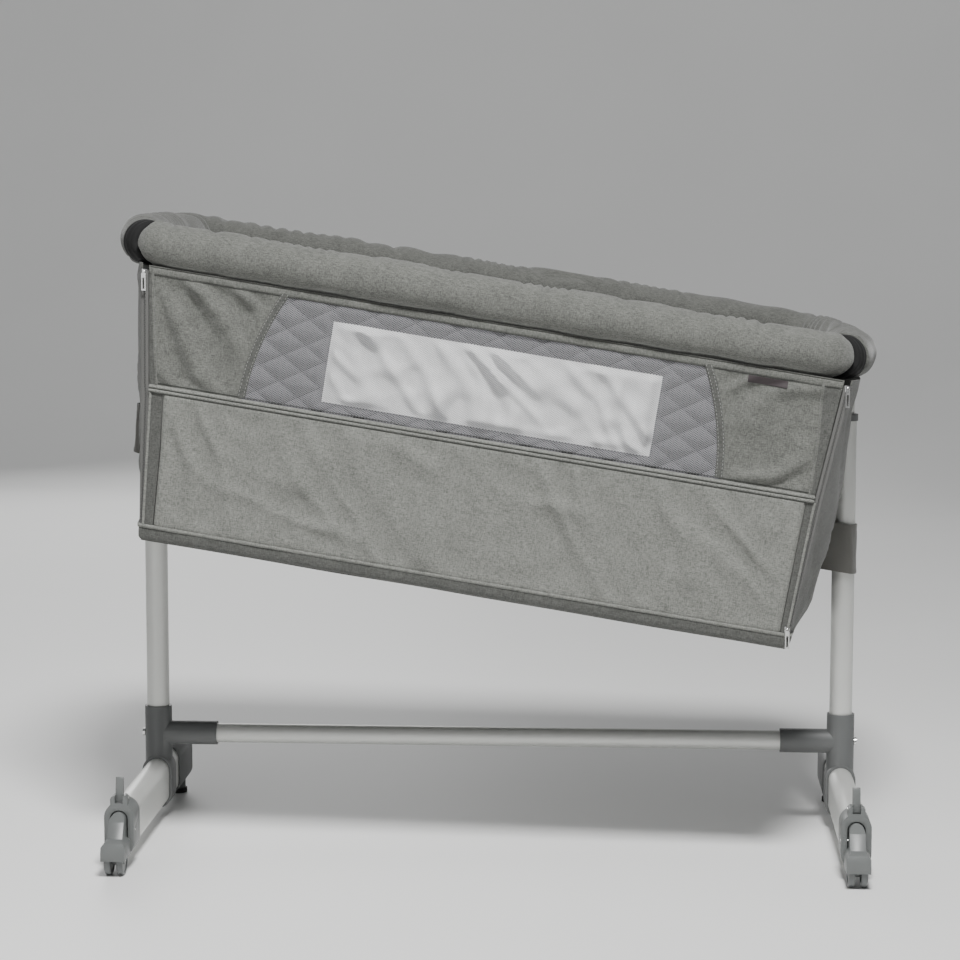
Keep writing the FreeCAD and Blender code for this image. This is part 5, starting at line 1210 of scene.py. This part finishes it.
def postAt(down, sign):
    # where a leg's middle line crosses the crib at a drop
    across = sign * strap["spacing"] / 2 - crib["origin"][0]
    c, s = math.cos(crib["tilt"]), math.sin(crib["tilt"])
    return across * c - s / c * (-down - across * s)


def strapBand(name, sign):
    # out from the wall, round the leg and back
    half = strap["width"] / 2
    channels = [sign * lean(down) + along(shape["channelTop"], shape["channelBase"], down / shape["baseDrop"])
                for down in (strap["drop"] - half, strap["drop"] + half)]
    root = sign * (max(channels) + strap["rootGap"])
    bow = postAt(strap["drop"], sign) + sign * (strap["leg"] + strap["running"])
    if sign < 0:
        bow -= strap["slack"]
    reach = strap["leg"] + strap["room"] + strap["thick"] / 2
    turn = bow - sign * strap["turn"]
    line = [(along(root, turn, i / 8), -reach) for i in range(8)]
    line += arcPoints((turn, -reach), (bow + sign * strap["thick"] / 2, 0), (turn, reach), 24)
    line += [(along(turn, root, i / 8), reach) for i in range(1, 9)]
    count = len(line) - 1
    slant = crib["tilt"] * strap["slant"][sign]  # the left one hangs between its two tilts

    def place(s, t):
        here = round(s * count)
        u, v = line[here]
        normal = beside(line, here) * sign
        w = -strap["drop"] + (t - 0.5) * strap["width"]
        follow = ease((u - root) / (turn - root)) * math.tan(slant) * (t - 0.5) * strap["width"]
        push = strap["wave"] * gust(here * 0.35, t * 2.2, 101 + sign) * ease(min(t, 1 - t) / 0.2)
        push += strap["hem"] * ease((abs(t - 0.5) - 0.40) / 0.05)
        return Vector((u + normal.x * push - follow, v + normal.y * push, w))

    piece = woven(name, count, strap["rows"], place)
    modify(piece, "SOLIDIFY", thickness=strap["thick"], offset=0)
    return piece


for side, sign, body in (("left", -1, "head_strap"), ("right", 1, "crib")):
    bandPiece = strapBand("post_strap_" + side, sign)
    settle(bandPiece, body, strapWeb)
    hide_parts("strap_" + side)

# zip sliders and the blank label
slider = {"size": (0.007, 0.005, 0.008), "plate": 0.0024, "taper": 0.66, "edge": 0.0006, "inset": 0.0049,
          "v": -0.2342, "bridge": {"location": (0, 0.0004, -0.0038), "rotation": (0, math.pi / 2, 0),
                                   "major_radius": 0.0021, "minor_radius": 0.0006, "major_segments": 20,
                                   "minor_segments": 8},
          "downs": {"zip_slider_left": (-1, 0.0286), "zip_slider_right": (1, 0.0286), "lower_slider": (1, 0.3155)}}


def sliderBody():
    # a wedge-shaped slider with a bridge bent over it
    deselect()
    bpy.ops.mesh.primitive_cube_add(size=1, location=(0, 0.0018, -0.004))
    body = bpy.context.object
    body.scale = (slider["size"][0], slider["plate"], slider["size"][2])
    bpy.ops.object.transform_apply(location=True, rotation=True, scale=True)
    for vertex in body.data.vertices:
        if vertex.co.z < -0.004:
            vertex.co.x *= slider["taper"]
    deselect()
    bpy.ops.mesh.primitive_torus_add(**slider["bridge"])
    bridge = bpy.context.object
    bridge.scale = (1, 0.8, 1.35)
    bpy.ops.object.transform_apply(location=True, rotation=True, scale=True)
    modify(body, "BEVEL", width=slider["edge"], segments=2)
    return joinAs("slider", [body, bridge])


pattern = sliderBody()
for node, (sign, down) in slider["downs"].items():
    take(pattern)
    bpy.ops.object.duplicate()
    copy = bpy.context.object
    copy.name = copy.data.name = node + "_metal"
    copy.location = (edgeAt(down, sign, slider["inset"]), slider["v"] + slider["size"][1] / 2, -down)
    settle(copy, node if node != "lower_slider" else "crib", brightSteel, 30)
    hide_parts(node)
bpy.data.objects.remove(pattern)

label = {"middle": 0.330, "length": 0.046, "height": 0.0082, "down": 0.039, "out": 0.0012, "thick": 0.0009,
         "curl": 0.0007, "edge": 0.0003}


def labelPlace(s, t):
    u = label["middle"] + (s - 0.5) * label["length"]
    down = label["down"] + (0.5 - t) * label["height"]
    curl = label["curl"] * (1 - t) * (0.6 + 0.4 * gust(s * 3, 0, 111))
    return frontPoint(u, down, label["out"] + curl)


labelTab = woven("blank_label", 24, 8, labelPlace)
modify(labelTab, "SOLIDIFY", thickness=label["thick"], offset=0)
modify(labelTab, "BEVEL", width=label["edge"], segments=2, limit_method="ANGLE")
settle(labelTab, "drop_side", labelWeave)
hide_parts("label_tab")

# stitches, sewn last
cribStitches = [place for offset in (-stitch["apart"] / 2, stitch["apart"] / 2)
                for place in stitchOnFront([(u, down + offset) for u, down in hemLine], hem["crown"] * 0.95)]
dropSewn = repeated("side_stitches", stitchPattern, dropStitches)
settle(dropSewn, "drop_side", sewingThread)
cribSewn = repeated("hem_stitches", stitchPattern, cribStitches)
settle(cribSewn, "crib", sewingThread)
bpy.data.objects.remove(stitchPattern)
print("sewn")

# moulded pieces with softened edges
softened = {"tee": 0.0009, "front_collar": 0.0008, "wheel_housing": 0.0009, "brake_lever": 0.0007,
            "rear_caps": 0.0009}


def softenNode(node, width):
    # a copy of a solid's mesh with its hard edges rounded over
    source = frame["nodes"][node]
    piece = placed(node + "_moulded", source.data.copy())
    piece.data.materials.clear()
    inEdit(piece, ("remove_doubles", {"threshold": 0.00001}), ("dissolve_limited", {"angle_limit": math.radians(1.0)}))
    modify(piece, "BEVEL", width=width, segments=2, limit_method="ANGLE", angle_limit=math.radians(38),
           harden_normals=False)
    bpy.ops.object.shade_smooth_by_angle(angle=math.radians(35))
    piece.data.materials.append(source.data.materials[0])
    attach(piece, source["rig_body"])
    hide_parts(node)
    return piece


for kind, width in softened.items():
    for node in [kind] if kind in frame["nodes"] else pairs(kind):
        piece = softenNode(node, width)
print("moulded edges softened")

# floor, light, camera
sweep = {"near": -18.0, "far": 3.6, "bend": 2.2, "high": 7.0, "half": 18.0}


def sweepPlace(s, t):
    # a floor that curves up into its own backdrop
    flat, arc = sweep["far"] - sweep["near"], sweep["bend"] * math.pi / 2
    run = t * (flat + arc + sweep["high"])
    x = along(sweep["half"], -sweep["half"], s)
    if run < flat:
        return Vector((x, sweep["near"] + run, 0))
    if run < flat + arc:
        turn = (run - flat) / sweep["bend"]
        return Vector((x, sweep["far"] + sweep["bend"] * math.sin(turn), sweep["bend"] * (1 - math.cos(turn))))
    return Vector((x, sweep["far"] + sweep["bend"], sweep["bend"] + run - flat - arc))


floor = inEdit(woven("floor", 4, 120, sweepPlace), ("flip_normals", {}))
bpy.ops.object.shade_smooth()
floor.data.materials.append(floorPaint)

lamps = {"key": ((0.35, -1.85, 3.25), 190, 0.7), "fill": ((-1.5, -3.6, 1.0), 14, 1.8),
         "back": ((-1.1, 3.6, 1.5), 34, 1.8)}
aim = Vector((0, 0, 0.45))
for name, (spot, power, size) in lamps.items():
    lamp = placed(name, bpy.data.lights.new(name, "AREA"))
    lamp.data.energy, lamp.data.size = power, size
    lamp.location = spot
    lamp.rotation_euler = (aim - Vector(spot)).to_track_quat("-Z", "Y").to_euler()
studio = {"Color": (0.90, 0.92, 0.94, 1), "Strength": 0.20}
world = bpy.data.worlds.new("studio")
world.use_nodes = True
for setting, value in studio.items():
    world.node_tree.nodes["Background"].inputs[setting].default_value = value
bpy.context.scene.world = world

view = {"spot": (0.1753, -3.3693, 0.81412), "yaw": -0.06594, "pitch": 0.11825, "focal": 2762.8, "across": 457.27,
        "down": 498.58, "image": 960, "sensor": 36.0}
camera = placed("camera", bpy.data.cameras.new("camera"))
level = math.cos(view["pitch"])
ahead = Vector((math.sin(view["yaw"]) * level, math.cos(view["yaw"]) * level, -math.sin(view["pitch"])))
camera.location = view["spot"]
camera.rotation_euler = ahead.to_track_quat("-Z", "Y").to_euler()
camera.data.sensor_width = view["sensor"]
camera.data.lens = view["focal"] * view["sensor"] / view["image"]
camera.data.shift_x = 0.5 - view["across"] / view["image"]
camera.data.shift_y = view["down"] / view["image"] - 0.5
bpy.context.scene.camera = camera

print("stage set")
